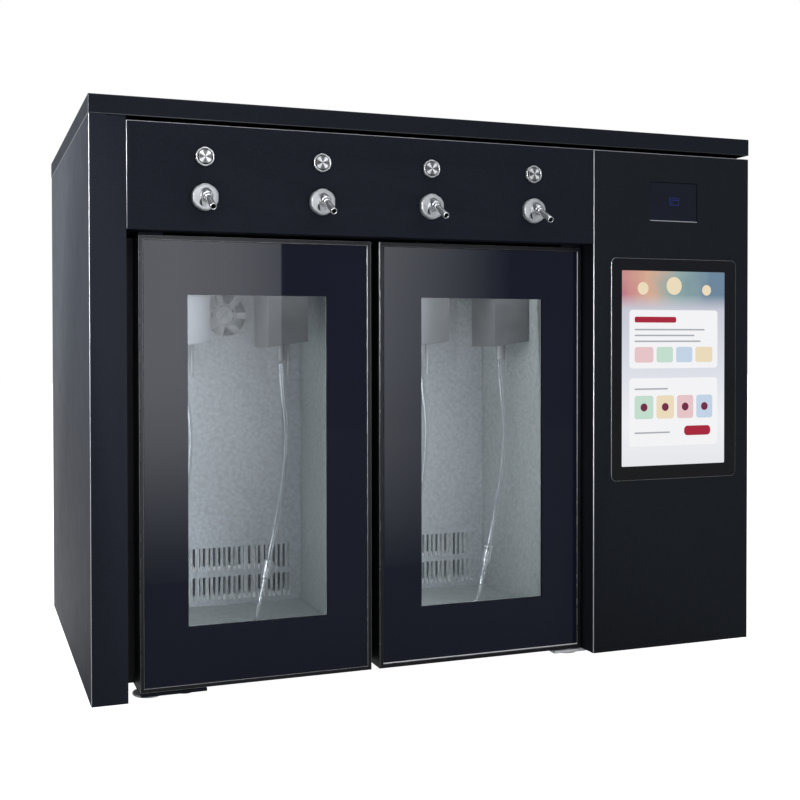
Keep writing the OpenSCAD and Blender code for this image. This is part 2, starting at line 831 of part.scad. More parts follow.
module door_gasket(i) {
    left = i == 0 ? gasket_hinge_inset : gasket_inset;
    right = i == 0 ? gasket_inset : gasket_hinge_inset;
    low = [door_x[i] + left, door_z0 + gasket_inset];
    high = [door_x[i] + door_w - right, door_z0 + door_h - gasket_inset];
    back = face_y - liner_t - gasket_free;
    color(dark_plastic) placed() difference() {
        block([low[0], door_back, low[1]], [high[0], back, high[1]]);
        block([low[0] + gasket_w, door_back - 1, low[1] + gasket_w],
            [high[0] - gasket_w, back + 1, high[1] - gasket_w]);
    }
}

module door_frame_left() { door_frame(0); }
module door_frame_right() { door_frame(1); }
module outer_glass_left() { outer_glass(0); }
module outer_glass_right() { outer_glass(1); }
module inner_glass_left() { inner_glass(0); }
module inner_glass_right() { inner_glass(1); }
module door_gasket_left() { door_gasket(0); }
module door_gasket_right() { door_gasket(1); }

// Ends of the two bottom plates: the left one also carries a rubber foot
rubber_pitch = 36.5;
rubber_margin = 14;
plate_margin = [20, 18];
plate_x = [
    [door_x[0] + 1, level_foot_x[0] + rubber_pitch + rubber_margin],
    [pivot_x[1] - plate_margin[0], level_foot_x[1] + plate_margin[1]]
];
strap_margin = 2;
washer_rim = 2;

// Bottom plates with the lower pins, and top straps with the upper pins
module hinge_brackets() {
    washer_d = pin_d + 2 * washer_rim;
    color(bright_steel) placed() for (i = [0, 1]) {
        difference() {
            block([plate_x[i][0], pivot_y - pin_d - strap_margin, -hinge_plate_t],
                [plate_x[i][1], pivot_y + hinge_reach, 0]);
            translate([level_foot_x[i], level_foot_y, -hinge_plate_t - 1])
                cylinder(d = stud_d + 2 * stud_clear, h = hinge_plate_t + 2);
        }
        translate([pivot_x[i], pivot_y, -1]) cylinder(d = pin_d, h = pin_h + 1);
        translate([pivot_x[i], pivot_y, 0]) cylinder(d = washer_d, h = door_z0 - plate_clear);
        block([pivot_x[i] - hinge_strap_w / 2, pivot_y - pin_d - strap_margin, strap_z],
            [pivot_x[i] + hinge_strap_w / 2, pivot_y + hinge_reach, strap_z + hinge_strap_t]);
        translate([pivot_x[i], pivot_y, door_z0 + door_h - pin_h])
            cylinder(d = pin_d, h = strap_z + 1 - door_z0 - door_h + pin_h);
    }
}

// ---- Buttons and taps ----

// How far a rounded hexagon's corners stand past its flats
flange_round = 1.075;
// Across flats and thickness of the nuts behind the sheets
bezel_nut = [22, 3];
tap_nut = [20, 5];
gas_nut = [18, 5];

// Hexagon nut whose front face lies at a point
module nut_y(at, nut) {
    plate_xz(at[1], at[1] + nut[1]) translate([at[0], at[2]]) circle(d = nut[0] / cos(30), $fn = 6);
}

module button_bezels() {
    color(bright_steel) placed() for (x = tap_x) difference() {
        union() {
            plate_xz(-bezel_t, 0) translate([x, button_z]) soft_hex(bezel_af, bezel_af * flange_round);
            rod_y([x, 0, button_z], barrel_d, barrel_l);
            nut_y([x, sheet_t, button_z], bezel_nut);
        }
        rod_y([x, -bezel_t - 1, button_z], cap_d + 2 * cap_gap,
            1 - cap_proud + cap_t + button_pocket);
        rod_y([x, -1, button_z], cap_stem_d + 2 * stem_clear, barrel_l - stem_floor);
    }
}

stem_clear = 0.05;
stem_floor = 1;

module button(i) {
    front = -bezel_t - cap_proud;
    color(bright_steel) placed() {
        rod_y([tap_x[i], front, button_z], cap_d, cap_t);
        rod_y([tap_x[i], front + cap_t - 0.5, button_z], cap_stem_d,
            barrel_l - stem_floor - cap_travel - 1 - front - cap_t);
    }
}

module button_1() { button(0); }
module button_2() { button(1); }
module button_3() { button(2); }
module button_4() { button(3); }

dome_d = 21;
dome_top_d = 14;
dome_h = 5;

// Hexagon flange with a low dome, and the threaded tail with its nut
module tap_flanges() {
    color(bright_steel) placed() for (x = tap_x) difference() {
        union() {
            plate_xz(-tap_flange_t, 0) translate([x, tap_z])
                soft_hex(tap_flange_af, tap_flange_af * flange_round);
            translate([x, -tap_flange_t, tap_z]) rotate([90, 0, 0])
                cylinder(d1 = dome_d, d2 = dome_top_d, h = dome_h);
            rod_y([x, 0, tap_z], tap_tail_d, tap_tail_l);
            nut_y([x, sheet_t, tap_z], tap_nut);
        }
        rod_y([x, -1, tap_z], tube_d + 0.2, tap_tail_l + 2);
        translate([x, spout_root[0], tap_z + spout_root[1]]) rotate([90 + spout_slope, 0, 0])
            translate([0, 0, -spout_seat]) cylinder(d = collar_d + 0.2, h = 3 * collar_l);
    }
}

spout_seat = 4;

// Sloping spout tube with its collar, bored through from the tip
module spout(i) {
    color(bright_steel) placed()
        translate([tap_x[i], spout_root[0], tap_z + spout_root[1]]) rotate([90 + spout_slope, 0, 0])
            difference() {
                union() {
                    translate([0, 0, -spout_seat]) cylinder(d = collar_d, h = collar_l);
                    cylinder(d = spout_d, h = spout_l);
                }
                translate([0, 0, 1]) cylinder(d = spout_bore, h = spout_l);
            }
}

module spout_1() { spout(0); }
module spout_2() { spout(1); }
module spout_3() { spout(2); }
module spout_4() { spout(3); }

valve_port_h = 14;
valve_z = cabinet_z1 + valve_port_h;
coil_h = 40;
coil_nut = [10, 4];

// One solenoid valve above each port, standing on the cabinet
module solenoid_valves() {
    color("#6d7378") placed() for (x = port_x) {
        block([x - valve_w / 2, port_y - valve_d / 2, cabinet_z1],
            [x + valve_w / 2, port_y + valve_d / 2, cabinet_z1 + valve_h]);
        translate([x, port_y, cabinet_z1 + valve_h]) cylinder(d = valve_w - 2, h = coil_h);
        translate([x, port_y, cabinet_z1 + valve_h + coil_h]) cylinder(d = coil_nut[0], h = coil_nut[1]);
    }
}

elbow_d = tube_d + 4;
lead_l = 12;
turn_l = 16;

// Tubes with push elbows from each valve to its tap, and down through the roof
module wine_tubes() {
    color(clear_hose) placed() for (i = [0:3]) {
        lead = [port_x[i], port_y - valve_d / 2 - lead_l, valve_z];
        turn = [tap_x[i], tap_tail_l + turn_l, tap_z];
        rod_y(lead, tube_d, lead_l);
        translate(lead) sphere(d = elbow_d);
        rod(lead, turn, tube_d);
        translate(turn) sphere(d = elbow_d);
        rod_y([tap_x[i], 1, tap_z], tube_d, tap_tail_l + turn_l - 1);
        translate([port_x[i], port_y, cavity_z1]) cylinder(d = tube_d, h = cabinet_z1 - cavity_z1);
    }
}

manifold_size = [12, 24];
manifold_back = 50;
manifold_y = port_y + manifold_back;
gas_thread_d = 12;
gas_thread_l = 16;
gas_body_d = 14;

// Gas bar on the cabinet's roof, a stub to each valve and the line to the inlet
module gas_manifold() {
    color("#9a9ea3") placed() {
        block([port_x[0] - manifold_size[0], manifold_y, cabinet_z1],
            [port_x[3] + manifold_size[0], manifold_y + manifold_size[0], cabinet_z1 + manifold_size[1]]);
        for (x = port_x)
            rod_y([x, port_y + valve_d / 2, gas_z], tube_d, manifold_y - port_y - valve_d / 2 + 1);
        rod_y([gas_inlet_x, manifold_y + 1, gas_z], tube_d, back_in - gas_thread_l - manifold_y - 1);
    }
}

// Bulkhead fitting in the rear sheet, bored for the gas tube
module gas_inlet() {
    bore_l = gas_inlet_l - 2;
    color("#c8a24a") placed() difference() {
        union() {
            rod_y([gas_inlet_x, back_in - gas_thread_l, gas_z], gas_thread_d, gas_thread_l + sheet_t);
            nut_y([gas_inlet_x, body_d, gas_z], gas_nut);
            rod_y([gas_inlet_x, body_d, gas_z], gas_body_d, gas_inlet_l);
            nut_y([gas_inlet_x, back_in - gas_nut[1], gas_z], gas_nut);
        }
        rod_y([gas_inlet_x, body_d + gas_inlet_l - bore_l, gas_z], gas_tube_d + 2 * gas_clear, bore_l + 1);
    }
}

// ---- Display column ----

display_x = column_x + display_inset;
display_z = fascia_z1 - display_drop - display_h;
display_edge = 9;
reader_z = fascia_z1 - reader_drop - reader_h;
module_margin = 4;
module_step = [30, 60, 8];
reader_case = [5, 14];

module display_glass() {
    color("#0b0c0f") placed() plate_xz(-display_glass_t, 0)
        translate([display_x, display_z]) round_rect(display_w, display_h, display_r);
}

// Box behind the cover glass, inset from its sides and from its ends
module display_layer(inset_x, inset_z, y0, y1) {
    block([display_x + inset_x, y0, display_z + inset_z],
        [display_x + display_w - inset_x, y1, display_z + display_h - inset_z]);
}

module display_module() {
    color("#30343a") placed() {
        display_layer(display_edge + hole_play, display_edge + hole_play, plate_clear, sheet_t + 1);
        display_layer(module_margin, module_margin, sheet_t + plate_clear, sheet_t + module_d);
        display_layer(module_step[0], module_step[1],
            sheet_t + module_d - 1, sheet_t + module_d + module_step[2]);
    }
}

module card_reader() {
    gap = panel_gap;
    margin = reader_case[0];
    x0 = column_x + reader_inset;
    color("#10141f") placed() {
        block([x0 + gap, reader_recess, reader_z + gap],
            [x0 + reader_w - gap, sheet_t + 1, reader_z + reader_h - gap]);
        block([x0 - margin, sheet_t + plate_clear, reader_z - margin],
            [x0 + reader_w + margin, sheet_t + reader_case[1], reader_z + reader_h + margin]);
    }
}

board_gap = 8;
// Parts on the board: depth and height of the place, then depth, height and thickness
board_parts = [
    [20, 20, 34, 30, 12], [70, 24, 22, 22, 6], [110, 20, 26, 60, 16],
    [24, 70, 40, 30, 9], [76, 66, 20, 40, 20]
];
board_y = 80;
board_z = 300;
board_at = [column_x + board_gap, board_y, board_z];
board_size = [1.6, 150, 120];
standoff_d = 6;

// Circuit board on four standoffs from the partition
module controller_board() {
    color("darkgreen") placed() {
        translate(board_at) cube(board_size);
        for (y = [standoff_d, board_size[1] - standoff_d], z = [standoff_d, board_size[2] - standoff_d])
            rod_x([column_x, board_at[1] + y, board_at[2] + z], standoff_d, board_gap + 1);
        for (spot = board_parts)
            translate(board_at + [1, spot[0], spot[1]]) cube([spot[4], spot[2], spot[3]]);
    }
}

supply_size = [42, 110, 150];
supply_y = 240;
supply_z = 330;
supply_at = [column_x, supply_y, supply_z];
// Vent slots of the power supply: first, pitch, depth and distance from the ends
supply_vent = [12, 9, 3, 30];

module power_supply() {
    s = supply_size;
    v = supply_vent;
    color("silver") placed() translate(supply_at) difference() {
        cube(s);
        for (k = [0:9]) translate([s[0] - v[2], v[0] + k * v[1], v[3]])
            cube([v[2] + 1, v[2] + 1, s[2] - 2 * v[3]]);
    }
}

compressor_inset = 100;
compressor_y = 205;
compressor_at = [column_x + compressor_inset, compressor_y];
compressor_base = 8;
compressor_plate = [130, 3];
mount_d = 16;
mount_inset = 9;
seam_out = 3;
pipe_d = 8;
pipe_l = 16;

// Sealed compressor pot on its base plate with four rubber mounts
module compressor() {
    r = compressor_d / 2;
    h = compressor_h;
    half = compressor_plate[0] / 2;
    color("#1d1f22") placed() translate([compressor_at[0], compressor_at[1], sheet_t]) {
        translate([-half, -half, compressor_base])
            cube([compressor_plate[0], compressor_plate[0], compressor_plate[1]]);
        for (x = [-1, 1], y = [-1, 1])
            translate([x * (half - mount_inset), y * (half - mount_inset), 0])
                cylinder(d = mount_d, h = compressor_base + 1);
        translate([0, 0, compressor_base + 2]) rotate_extrude() polygon([
            [0, 0], [r, 0], [r, h * 0.42], [r + seam_out, h * 0.42], [r + seam_out, h * 0.47],
            [r, h * 0.47], [r * 0.97, h * 0.8], [r * 0.7, h * 0.95], [0, h]
        ]);
        rod_x([r - pipe_d / 2, 0, h / 2], pipe_d, pipe_l);
    }
}

condenser_back = 12;
condenser_at = [column_x + (column_w - condenser_w) / 2, back_in - condenser_back - condenser_d, sheet_t];
condenser_fins = 16;
condenser_plate_t = 2;
condenser_rise = 7;
condenser_tube_d = 7;
condenser_tube_inset = 20;

// Finned coil in front of the rear louvres, on two end plates
module condenser() {
    w = condenser_w;
    d = condenser_d;
    h = condenser_h;
    t = condenser_plate_t;
    pitch = (h - fin_t) / (condenser_fins - 1);
    color("#3a3d41") placed() translate(condenser_at) {
        for (x = [0, w - t]) translate([x, 0, 0]) cube([t, d, h + condenser_rise + 1]);
        for (k = [0:condenser_fins - 1]) translate([0, 0, condenser_rise + k * pitch]) cube([w, d, fin_t]);
        for (k = [0:5])
            translate([condenser_tube_inset + k * (w - 2 * condenser_tube_inset) / 5, d / 2, condenser_rise])
                cylinder(d = condenser_tube_d, h = h);
    }
}

blower_y0 = condenser_at[1] - blower_frame_d;
blower_x = condenser_at[0] + condenser_w / 2;
blower_z = sheet_t + condenser_rise + condenser_h / 2;
blower_axle_d = 6;
blower_clear = 2;
blower_spoke = 5;
blower_chord = 22;

module condenser_fan_frame() {
    y1 = blower_y0 + blower_frame_d;
    color(dark_plastic) placed() {
        plate_xz(blower_y0, y1) difference() {
            translate([blower_x - condenser_w / 2, sheet_t])
                square([condenser_w, 2 * (blower_z - sheet_t)]);
            translate([blower_x, blower_z]) circle(d = blower_d + 2 * blower_clear);
        }
        plate_xz(y1 - 2 * blower_clear, y1) {
            translate([blower_x, blower_z]) circle(d = blower_hub_d);
            for (a = [30, 90, 150]) translate([blower_x, blower_z]) rotate(a)
                square([blower_d + 2 * blower_clear + 2, blower_spoke], center = true);
        }
        rod_y([blower_x, blower_y0 + blower_clear, blower_z], blower_axle_d,
            blower_frame_d - blower_clear - 1);
    }
}

module condenser_fan_rotor() {
    depth = blower_frame_d - 4 * blower_clear - 3;
    color("dimgray") placed() translate([blower_x, blower_y0 + blower_clear + 1 + depth / 2, blower_z])
        fan_wheel(blower_d - blower_clear, blower_hub_d - 2, depth, 5, blower_chord,
            blower_axle_d + 2 * axle_clear);
}

rocker_axle_d = 3;
rocker_y = body_d + 1;
rocker_gap = 1.3;
inlet_plate_t = 3;
inlet_margin = 4;
inlet_fit = [0.6, 0.6];
switch_rim = [4, 2];
// Depths behind the rear sheet of the two boxes, their sockets and the pins
inlet_case_d = 22;
switch_case_d = 16;
socket_size = [26, 17];
socket_d = 14;
switch_socket_d = 12;
prong_size = [2, 4];
prong_at = [[-7, -2], [0, 2], [7, -2]];

// Box that fills a cut-out of the rear sheet, centred on a point in X and Z
module rear_box(at, size, y0, y1) {
    block([at[0] - size[0] / 2, y0, at[1] - size[1] / 2],
        [at[0] + size[0] / 2, y1, at[1] + size[1] / 2]);
}

// Appliance inlet with its three pins, on one plate with the switch's socket
module mains_inlet() {
    color(dark_plastic) placed() {
        difference() {
            union() {
                block([inlet_at[0] - inlet_size[0] / 2 - inlet_margin, body_d,
                    inlet_at[1] - inlet_size[1] / 2 - inlet_margin],
                    [switch_at[0] + switch_size[0] / 2 + inlet_margin, body_d + inlet_plate_t,
                    inlet_at[1] + inlet_size[1] / 2 + inlet_margin]);
                rear_box(inlet_at, inlet_size - inlet_fit, back_in - inlet_case_d, body_d + 1);
                rear_box(switch_at, switch_size - inlet_fit, back_in - switch_case_d, body_d + 1);
            }
            rear_box(inlet_at, socket_size, body_d - socket_d, body_d + inlet_plate_t + 1);
            rear_box(switch_at, switch_size - switch_rim, body_d - switch_socket_d, body_d + inlet_plate_t + 1);
            rod_x([switch_at[0] - switch_size[0] / 2 + 1, rocker_y, switch_at[1]],
                rocker_axle_d + 2 * axle_clear, switch_size[0] - 2);
        }
        for (p = prong_at)
            rear_box(inlet_at + p, prong_size, body_d - socket_d - 1, body_d - prong_size[0]);
    }
}

// Rocker that tilts on a cross axle, shown switched on
module power_switch() {
    w = switch_size[0];
    color("#8c1d1d") placed() translate([switch_at[0], rocker_y, switch_at[1]]) {
        rod_x([-w / 2 + rocker_gap, 0, 0], rocker_axle_d, w - 2 * rocker_gap);
        rotate([90, 0, 90]) translate([0, 0, -w / 2 + 2 * rocker_gap]) linear_extrude(w - 4 * rocker_gap)
            polygon([[-6, -3], [-2, -6.5], [3.6, -6.9], [2.6, 0], [1, 6.9], [-3, 6.5], [-6, 3]]);
    }
}

// ---- Feet ----

stud_top = 16;
rubber_forward = 3;

// Levelling foot: dish, hexagon and threaded stud
module levelling_foot(i) {
    top = foot_h - hinge_plate_t - panel_gap;
    r = level_foot_d / 2;
    color(bright_steel) placed() translate([level_foot_x[i], level_foot_y, -foot_h]) {
        rotate_extrude() polygon([
            [0, 0], [r - 1, 0], [r, 1], [r, 2], [r - 3, 3.6], [stud_d, level_foot_t], [0, level_foot_t]
        ]);
        cylinder(d = stud_d * 1.5, h = top);
        cylinder(d = stud_d, h = foot_h + stud_top);
    }
}

module levelling_foot_left() { levelling_foot(0); }
module levelling_foot_right() { levelling_foot(1); }

// Fixed rubber feet: one on the left hinge plate, the others under the base
module rubber_feet() {
    spots = [
        [level_foot_x[0] + rubber_pitch, level_foot_y - rubber_forward, -hinge_plate_t],
        [foot_inset, body_d - foot_inset, 0],
        [column_x - foot_inset / 2, body_d - foot_inset, 0],
        [body_w - foot_inset, body_d - foot_inset, 0],
        [body_w - foot_inset, foot_inset * 2, 0]
    ];
    color("#141414") placed() for (p = spots)
        translate([p[0], p[1], -foot_h]) rotate_extrude() polygon([
            [0, 0], [rubber_foot_d / 2 - 2, 0], [rubber_foot_d / 2, 2],
            [rubber_foot_d / 2, foot_h + p[2]], [0, foot_h + p[2]]
        ]);
}

top_panel();
left_side_panel();
right_side_panel();
rear_panel();
base_plate();
control_fascia();
column_front_panel();
column_partition();
insulated_cabinet();
cavity_liners();
evaporator_covers();
evaporators();
evaporator_fan_frames();
evaporator_rotor_left();
evaporator_rotor_right();
led_strips();
port_housings();
wine_hose_1();
wine_hose_2();
wine_hose_3();
wine_hose_4();
hose_end_fittings();
door_frame_left();
outer_glass_left();
inner_glass_left();
door_gasket_left();
door_frame_right();
outer_glass_right();
inner_glass_right();
door_gasket_right();
hinge_brackets();
button_bezels();
button_1();
button_2();
button_3();
button_4();
tap_flanges();
spout_1();
spout_2();
spout_3();
spout_4();
solenoid_valves();
wine_tubes();
gas_manifold();
gas_inlet();
display_glass();
display_module();
card_reader();
controller_board();
power_supply();
compressor();
condenser();
condenser_fan_frame();
condenser_fan_rotor();
mains_inlet();
power_switch();
levelling_foot_left();
levelling_foot_right();
rubber_feet();
casing_screws();
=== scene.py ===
"""Looks of a countertop wine preservation dispenser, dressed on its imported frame."""

import json
import math

import bmesh
import bpy
import numpy as np
from mathutils import Matrix, Vector

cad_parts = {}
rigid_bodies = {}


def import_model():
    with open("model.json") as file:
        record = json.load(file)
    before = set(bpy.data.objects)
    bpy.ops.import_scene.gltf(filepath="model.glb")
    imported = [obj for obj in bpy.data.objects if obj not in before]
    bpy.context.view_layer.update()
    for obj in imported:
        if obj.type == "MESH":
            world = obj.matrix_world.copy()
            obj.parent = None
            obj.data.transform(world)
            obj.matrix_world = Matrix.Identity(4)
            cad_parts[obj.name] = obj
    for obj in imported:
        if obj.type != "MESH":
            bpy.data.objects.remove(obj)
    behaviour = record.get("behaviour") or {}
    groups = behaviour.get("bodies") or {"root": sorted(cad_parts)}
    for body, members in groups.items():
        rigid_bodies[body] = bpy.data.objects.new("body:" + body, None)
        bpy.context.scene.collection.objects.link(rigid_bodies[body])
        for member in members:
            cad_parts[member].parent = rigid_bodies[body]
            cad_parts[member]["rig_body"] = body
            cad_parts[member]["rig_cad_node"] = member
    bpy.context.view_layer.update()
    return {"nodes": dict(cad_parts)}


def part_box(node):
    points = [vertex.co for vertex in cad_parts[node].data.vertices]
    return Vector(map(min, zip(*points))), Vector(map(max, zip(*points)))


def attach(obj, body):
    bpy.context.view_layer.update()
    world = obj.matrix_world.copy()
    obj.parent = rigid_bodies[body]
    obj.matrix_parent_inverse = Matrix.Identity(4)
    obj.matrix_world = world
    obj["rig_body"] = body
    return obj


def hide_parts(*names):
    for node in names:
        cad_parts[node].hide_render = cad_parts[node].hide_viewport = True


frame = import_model()
nodes = frame["nodes"]


# ---- measures

def span(node):
    """Low and high corner of a frame node as numpy arrays."""
    low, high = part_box(node)
    return np.array(low), np.array(high)


def middle(node):
    """Centre of a frame node's box."""
    low, high = span(node)
    return (low + high) / 2


# Points nearer than this become one, in most pieces and in the thin prints.
MERGE, THIN_MERGE = 1e-6, 1e-7
FRONT = float(span("control_fascia")[0][1])
TAP_X = [float(middle(f"button_{i}")[0]) for i in (1, 2, 3, 4)]
BUTTON_Z = float(middle("button_1")[2])
TAP_Z = float(middle("tap_flanges")[2])
FORWARD = (0, -1, 0)
# The window of a door's printed border: its size, how far its middle lies over the glass's, and the play
# between it and the spacer behind.
WINDOW_W, WINDOW_H, WINDOW_RISE, WINDOW_PLAY = 0.144, 0.327, 0.0017, 0.0004
READER_FLANGE = 0.0053
HOSE_D, HOSE_BULGE = 0.006, 0.006


def hose_top(i):
    """Where a hose leaves its nozzle; its axis bulges from there along X."""
    low, high = span(f"wine_hose_{i}")
    return np.array([high[0] - HOSE_BULGE - HOSE_D / 2, (low[1] + high[1]) / 2, high[2]])


# ---- meshes

def mesh_piece(name, points, faces, smooth=True):
    """A mesh object from an N by 3 array of points and a list or array of faces."""
    mesh = bpy.data.meshes.new(name)
    mesh.from_pydata(np.asarray(points, float).tolist(), [], [tuple(map(int, f)) for f in faces])
    mesh.update()
    mesh.polygons.foreach_set("use_smooth", [smooth] * len(mesh.polygons))
    piece = bpy.data.objects.new(name, mesh)
    bpy.context.scene.collection.objects.link(piece)
    return piece


def grid_faces(rows, columns, close_rows=False, close_columns=False):
    """Quads of a grid of rows by columns points; a closed direction joins its last line to its first."""
    r = np.arange(rows if close_rows else rows - 1)
    c = np.arange(columns if close_columns else columns - 1)
    r, c = np.meshgrid(r, c, indexing="ij")
    r2, c2 = (r + 1) % rows, (c + 1) % columns
    quads = np.stack([r * columns + c, r2 * columns + c, r2 * columns + c2, r * columns + c2], -1)
    return quads.reshape(-1, 4)


def turned(profile, at, axis=(0, 0, 1), sides=64, outline=None):
    """Points (radius, height) turned about an axis: x = r cos a, y = r sin a, z = h.

    outline(angles, count of profile points) scales the radius where the piece isn't round. A first or last
    point of radius zero closes the piece with a fan.
    """
    profile = np.asarray(profile, float)
    a = np.linspace(0, 2 * np.pi, sides, endpoint=False)
    scale = np.ones((len(profile), sides)) if outline is None else outline(a, len(profile))
    r = profile[:, :1] * scale
    points = np.stack([r * np.cos(a), r * np.sin(a), np.repeat(profile[:, 1:], sides, 1)], -1)
    turn = Vector((0, 0, 1)).rotation_difference(Vector(axis)).to_matrix()
    points = points.reshape(-1, 3) @ np.array(turn).T + np.array(at, float)
    return points, grid_faces(len(profile), sides, close_columns=True)


def join(parts):
    """Several (points, faces) pairs as one pair."""
    points, faces, start = [], [], 0
    for p, f in parts:
        points.append(np.asarray(p, float))
        faces += [tuple(int(i) + start for i in face) for face in f]
        start += len(p)
    return np.concatenate(points), faces


def tidy(piece, merge):
    """Merges doubled points, drops empty faces and turns all faces outwards."""
    bm = bmesh.new()
    bm.from_mesh(piece.data)
    bmesh.ops.remove_doubles(bm, verts=bm.verts, dist=merge)
    bmesh.ops.dissolve_degenerate(bm, edges=bm.edges, dist=merge)
    bmesh.ops.recalc_face_normals(bm, faces=bm.faces)
    bm.to_mesh(piece.data)
    bm.free()


def bevelled(piece, width, segments=2, angle=30, slot=-1, limit="ANGLE"):
    """Rounds the piece's sharp edges; slot is the material slot of the rounded faces."""
    m = piece.modifiers.new("edge", "BEVEL")
    m.width = width
    m.segments = segments
    m.limit_method = limit
    m.angle_limit = math.radians(angle)
    m.harden_normals = True
    m.material = slot


def coordinates(mesh):
    """The mesh's points as an N by 3 array."""
    flat = np.zeros(len(mesh.vertices) * 3)
    mesh.vertices.foreach_get("co", flat)
    return flat.reshape(-1, 3)


def numbers(items, key, each=1):
    """A whole-number property of all items of a mesh collection, each with so many values."""
    values = np.zeros(len(items) * each, int)
    items.foreach_get(key, values)
    return values


def inside(points, low, high, reach=0.0):
    """Which points lie in a box that is let out by reach."""
    return np.all((points >= np.array(low) - reach) & (points <= np.array(high) + reach), axis=1)


def own_solid(node):
    """A copy of the frame node's solid, without doubled points, split flats and stored normals."""
    piece = bpy.data.objects.new(f"{node}_finished", nodes[node].data.copy())
    bpy.context.scene.collection.objects.link(piece)
    if piece.data.has_custom_normals:
        piece.data.attributes.remove(piece.data.attributes["custom_normal"])
    bm = bmesh.new()
    bm.from_mesh(piece.data)
    bmesh.ops.remove_doubles(bm, verts=bm.verts, dist=MERGE)
    bmesh.ops.dissolve_limit(bm, angle_limit=math.radians(0.5), verts=bm.verts, edges=bm.edges)
    for e in bm.edges:
        e.smooth = True
    bm.to_mesh(piece.data)
    bm.free()
    piece.data.polygons.foreach_set("use_smooth", [True] * len(piece.data.polygons))
    return piece


def zone_faces(mesh, zones):
    """Gives each face that lies wholly in a zone's box that zone's material."""
    points = coordinates(mesh)[numbers(mesh.loops, "vertex_index")]
    first = numbers(mesh.polygons, "loop_start")
    slots = np.zeros(len(first), int)
    for zone, low, high in zones:
        slots[np.logical_and.reduceat(inside(points, low, high, 1e-5), first)] = len(mesh.materials)
        mesh.materials.append(zone)
    mesh.polygons.foreach_set("material_index", slots)


def weigh_edges(mesh, boxes):
    """Marks each edge that lies wholly in one of the boxes for a bevel by weight."""
    points, ends = coordinates(mesh), numbers(mesh.edges, "vertices", 2)
    chosen = np.zeros(len(mesh.edges), bool)
    for low, high in boxes:
        chosen |= inside(points, low, high)[ends].reshape(-1, 2).all(1)
    weights = mesh.attributes.new("bevel_weight_edge", "FLOAT", "EDGE")
    weights.data.foreach_set("value", chosen.astype(float))


def finished(node, material, edge=0.0006, segments=2, edge_material=None, zones=(), bright=None):
    """The frame node's own solid with its edges rounded, in its finish, in the node's place.

    zones are (material, low corner, high corner): faces that lie wholly in such a box take that material.
    bright is a list of (low, high) boxes: where it is given, only the edges in one take edge_material.
    """
    piece = own_solid(node)
    dress(piece, material)
    if edge_material:
        piece.data.materials.append(edge_material)
    zone_faces(piece.data, zones)
    if bright:
        weigh_edges(piece.data, bright)
        bevelled(piece, edge, 4, slot=1, limit="WEIGHT")
    bevelled(piece, edge, segments, slot=1 if edge_material and not bright else -1)
    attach(piece, nodes[node]["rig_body"])
    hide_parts(node)


def dress(piece, material, slot=None):
    """Gives a piece one material."""
    piece.data.materials.clear()
    piece.data.materials.append(material)
    slot = slot or SLOT_OF.get(material.name)


def settled(piece, material, body, node=None, slot=None, merge=MERGE, rounded=None):
    """Cleans and dresses a new piece, ties it to its body and puts it in a frame node's place, if it has one.

    rounded is (width, segments, angle) of a bevel on its sharp edges.
    """
    tidy(piece, merge)
    if rounded:
        bevelled(piece, *rounded)
    dress(piece, material, slot)
    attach(piece, body)
    if node:
        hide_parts(node)


# ---- materials

SLOT_OF = {}
BLACK, WHITE = (0, 0, 0, 1), (1, 1, 1, 1)


def linear(*rgb):
    """Display colour values from 0 to 255 as scene colour."""
    c = np.array(rgb, float) / 255
    c = np.where(c <= 0.04045, c / 12.92, ((c + 0.055) / 1.055) ** 2.4)
    return (*map(float, c), 1.0)


def times(colour, share):
    """A colour made lighter or darker."""
    return tuple(min(1.0, c * share) for c in colour[:3]) + (1,)


class Nodes:
    """The nodes of a shader tree, made and linked in short calls."""

    def __init__(self, owner):
        owner.use_nodes = True
        self.tree = owner.node_tree

    def node(self, kind, **inputs):
        """A node, with its inputs set to values or linked to sockets."""
        n = self.tree.nodes.new(kind)
        for key, value in inputs.items():
            self.feed(n.inputs[key.replace("_", " ")], value)
        return n

    def feed(self, socket, value):
        """Links an input to another node's output, or sets it to a value."""
        if isinstance(value, bpy.types.NodeSocket):
            self.tree.links.new(value, socket)
        else:
            socket.default_value = value

    def split(self, vector):
        """A vector's X, Y and Z by name."""
        return self.node("ShaderNodeSeparateXYZ", Vector=vector).outputs

    def ramp(self, fac, *stops):
        """A colour ramp through (position, colour or grey) stops."""
        n = self.node("ShaderNodeValToRGB", Fac=fac)
        e = n.color_ramp.elements
        while len(e) < len(stops):
            e.new(0.5)
        for element, (position, colour) in zip(e, stops):
            element.position = position
            element.color = colour if hasattr(colour, "__len__") else (colour,) * 3 + (1,)
        return n.outputs["Color"]

    def scaled(self, value, low, high, from_low=0.0, from_high=1.0, kind="LINEAR"):
        """A value of one range taken to another, low to high."""
        n = self.node("ShaderNodeMapRange", Value=value, From_Min=from_low, From_Max=from_high,
                      To_Min=low, To_Max=high)
        n.interpolation_type = kind
        return n.outputs["Result"]

    def maths(self, kind, a, b=0.0):
        """Two values through a Math node."""
        n = self.tree.nodes.new("ShaderNodeMath")
        n.operation = kind
        self.feed(n.inputs[0], a)
        self.feed(n.inputs[1], b)
        return n.outputs[0]

    def mix(self, fac, a, b):
        """Colour a to colour b by fac."""
        n = self.tree.nodes.new("ShaderNodeMix")
        n.data_type = "RGBA"
        for index, value in ((0, fac), (6, a), (7, b)):
            self.feed(n.inputs[index], value)
        return n.outputs[2]


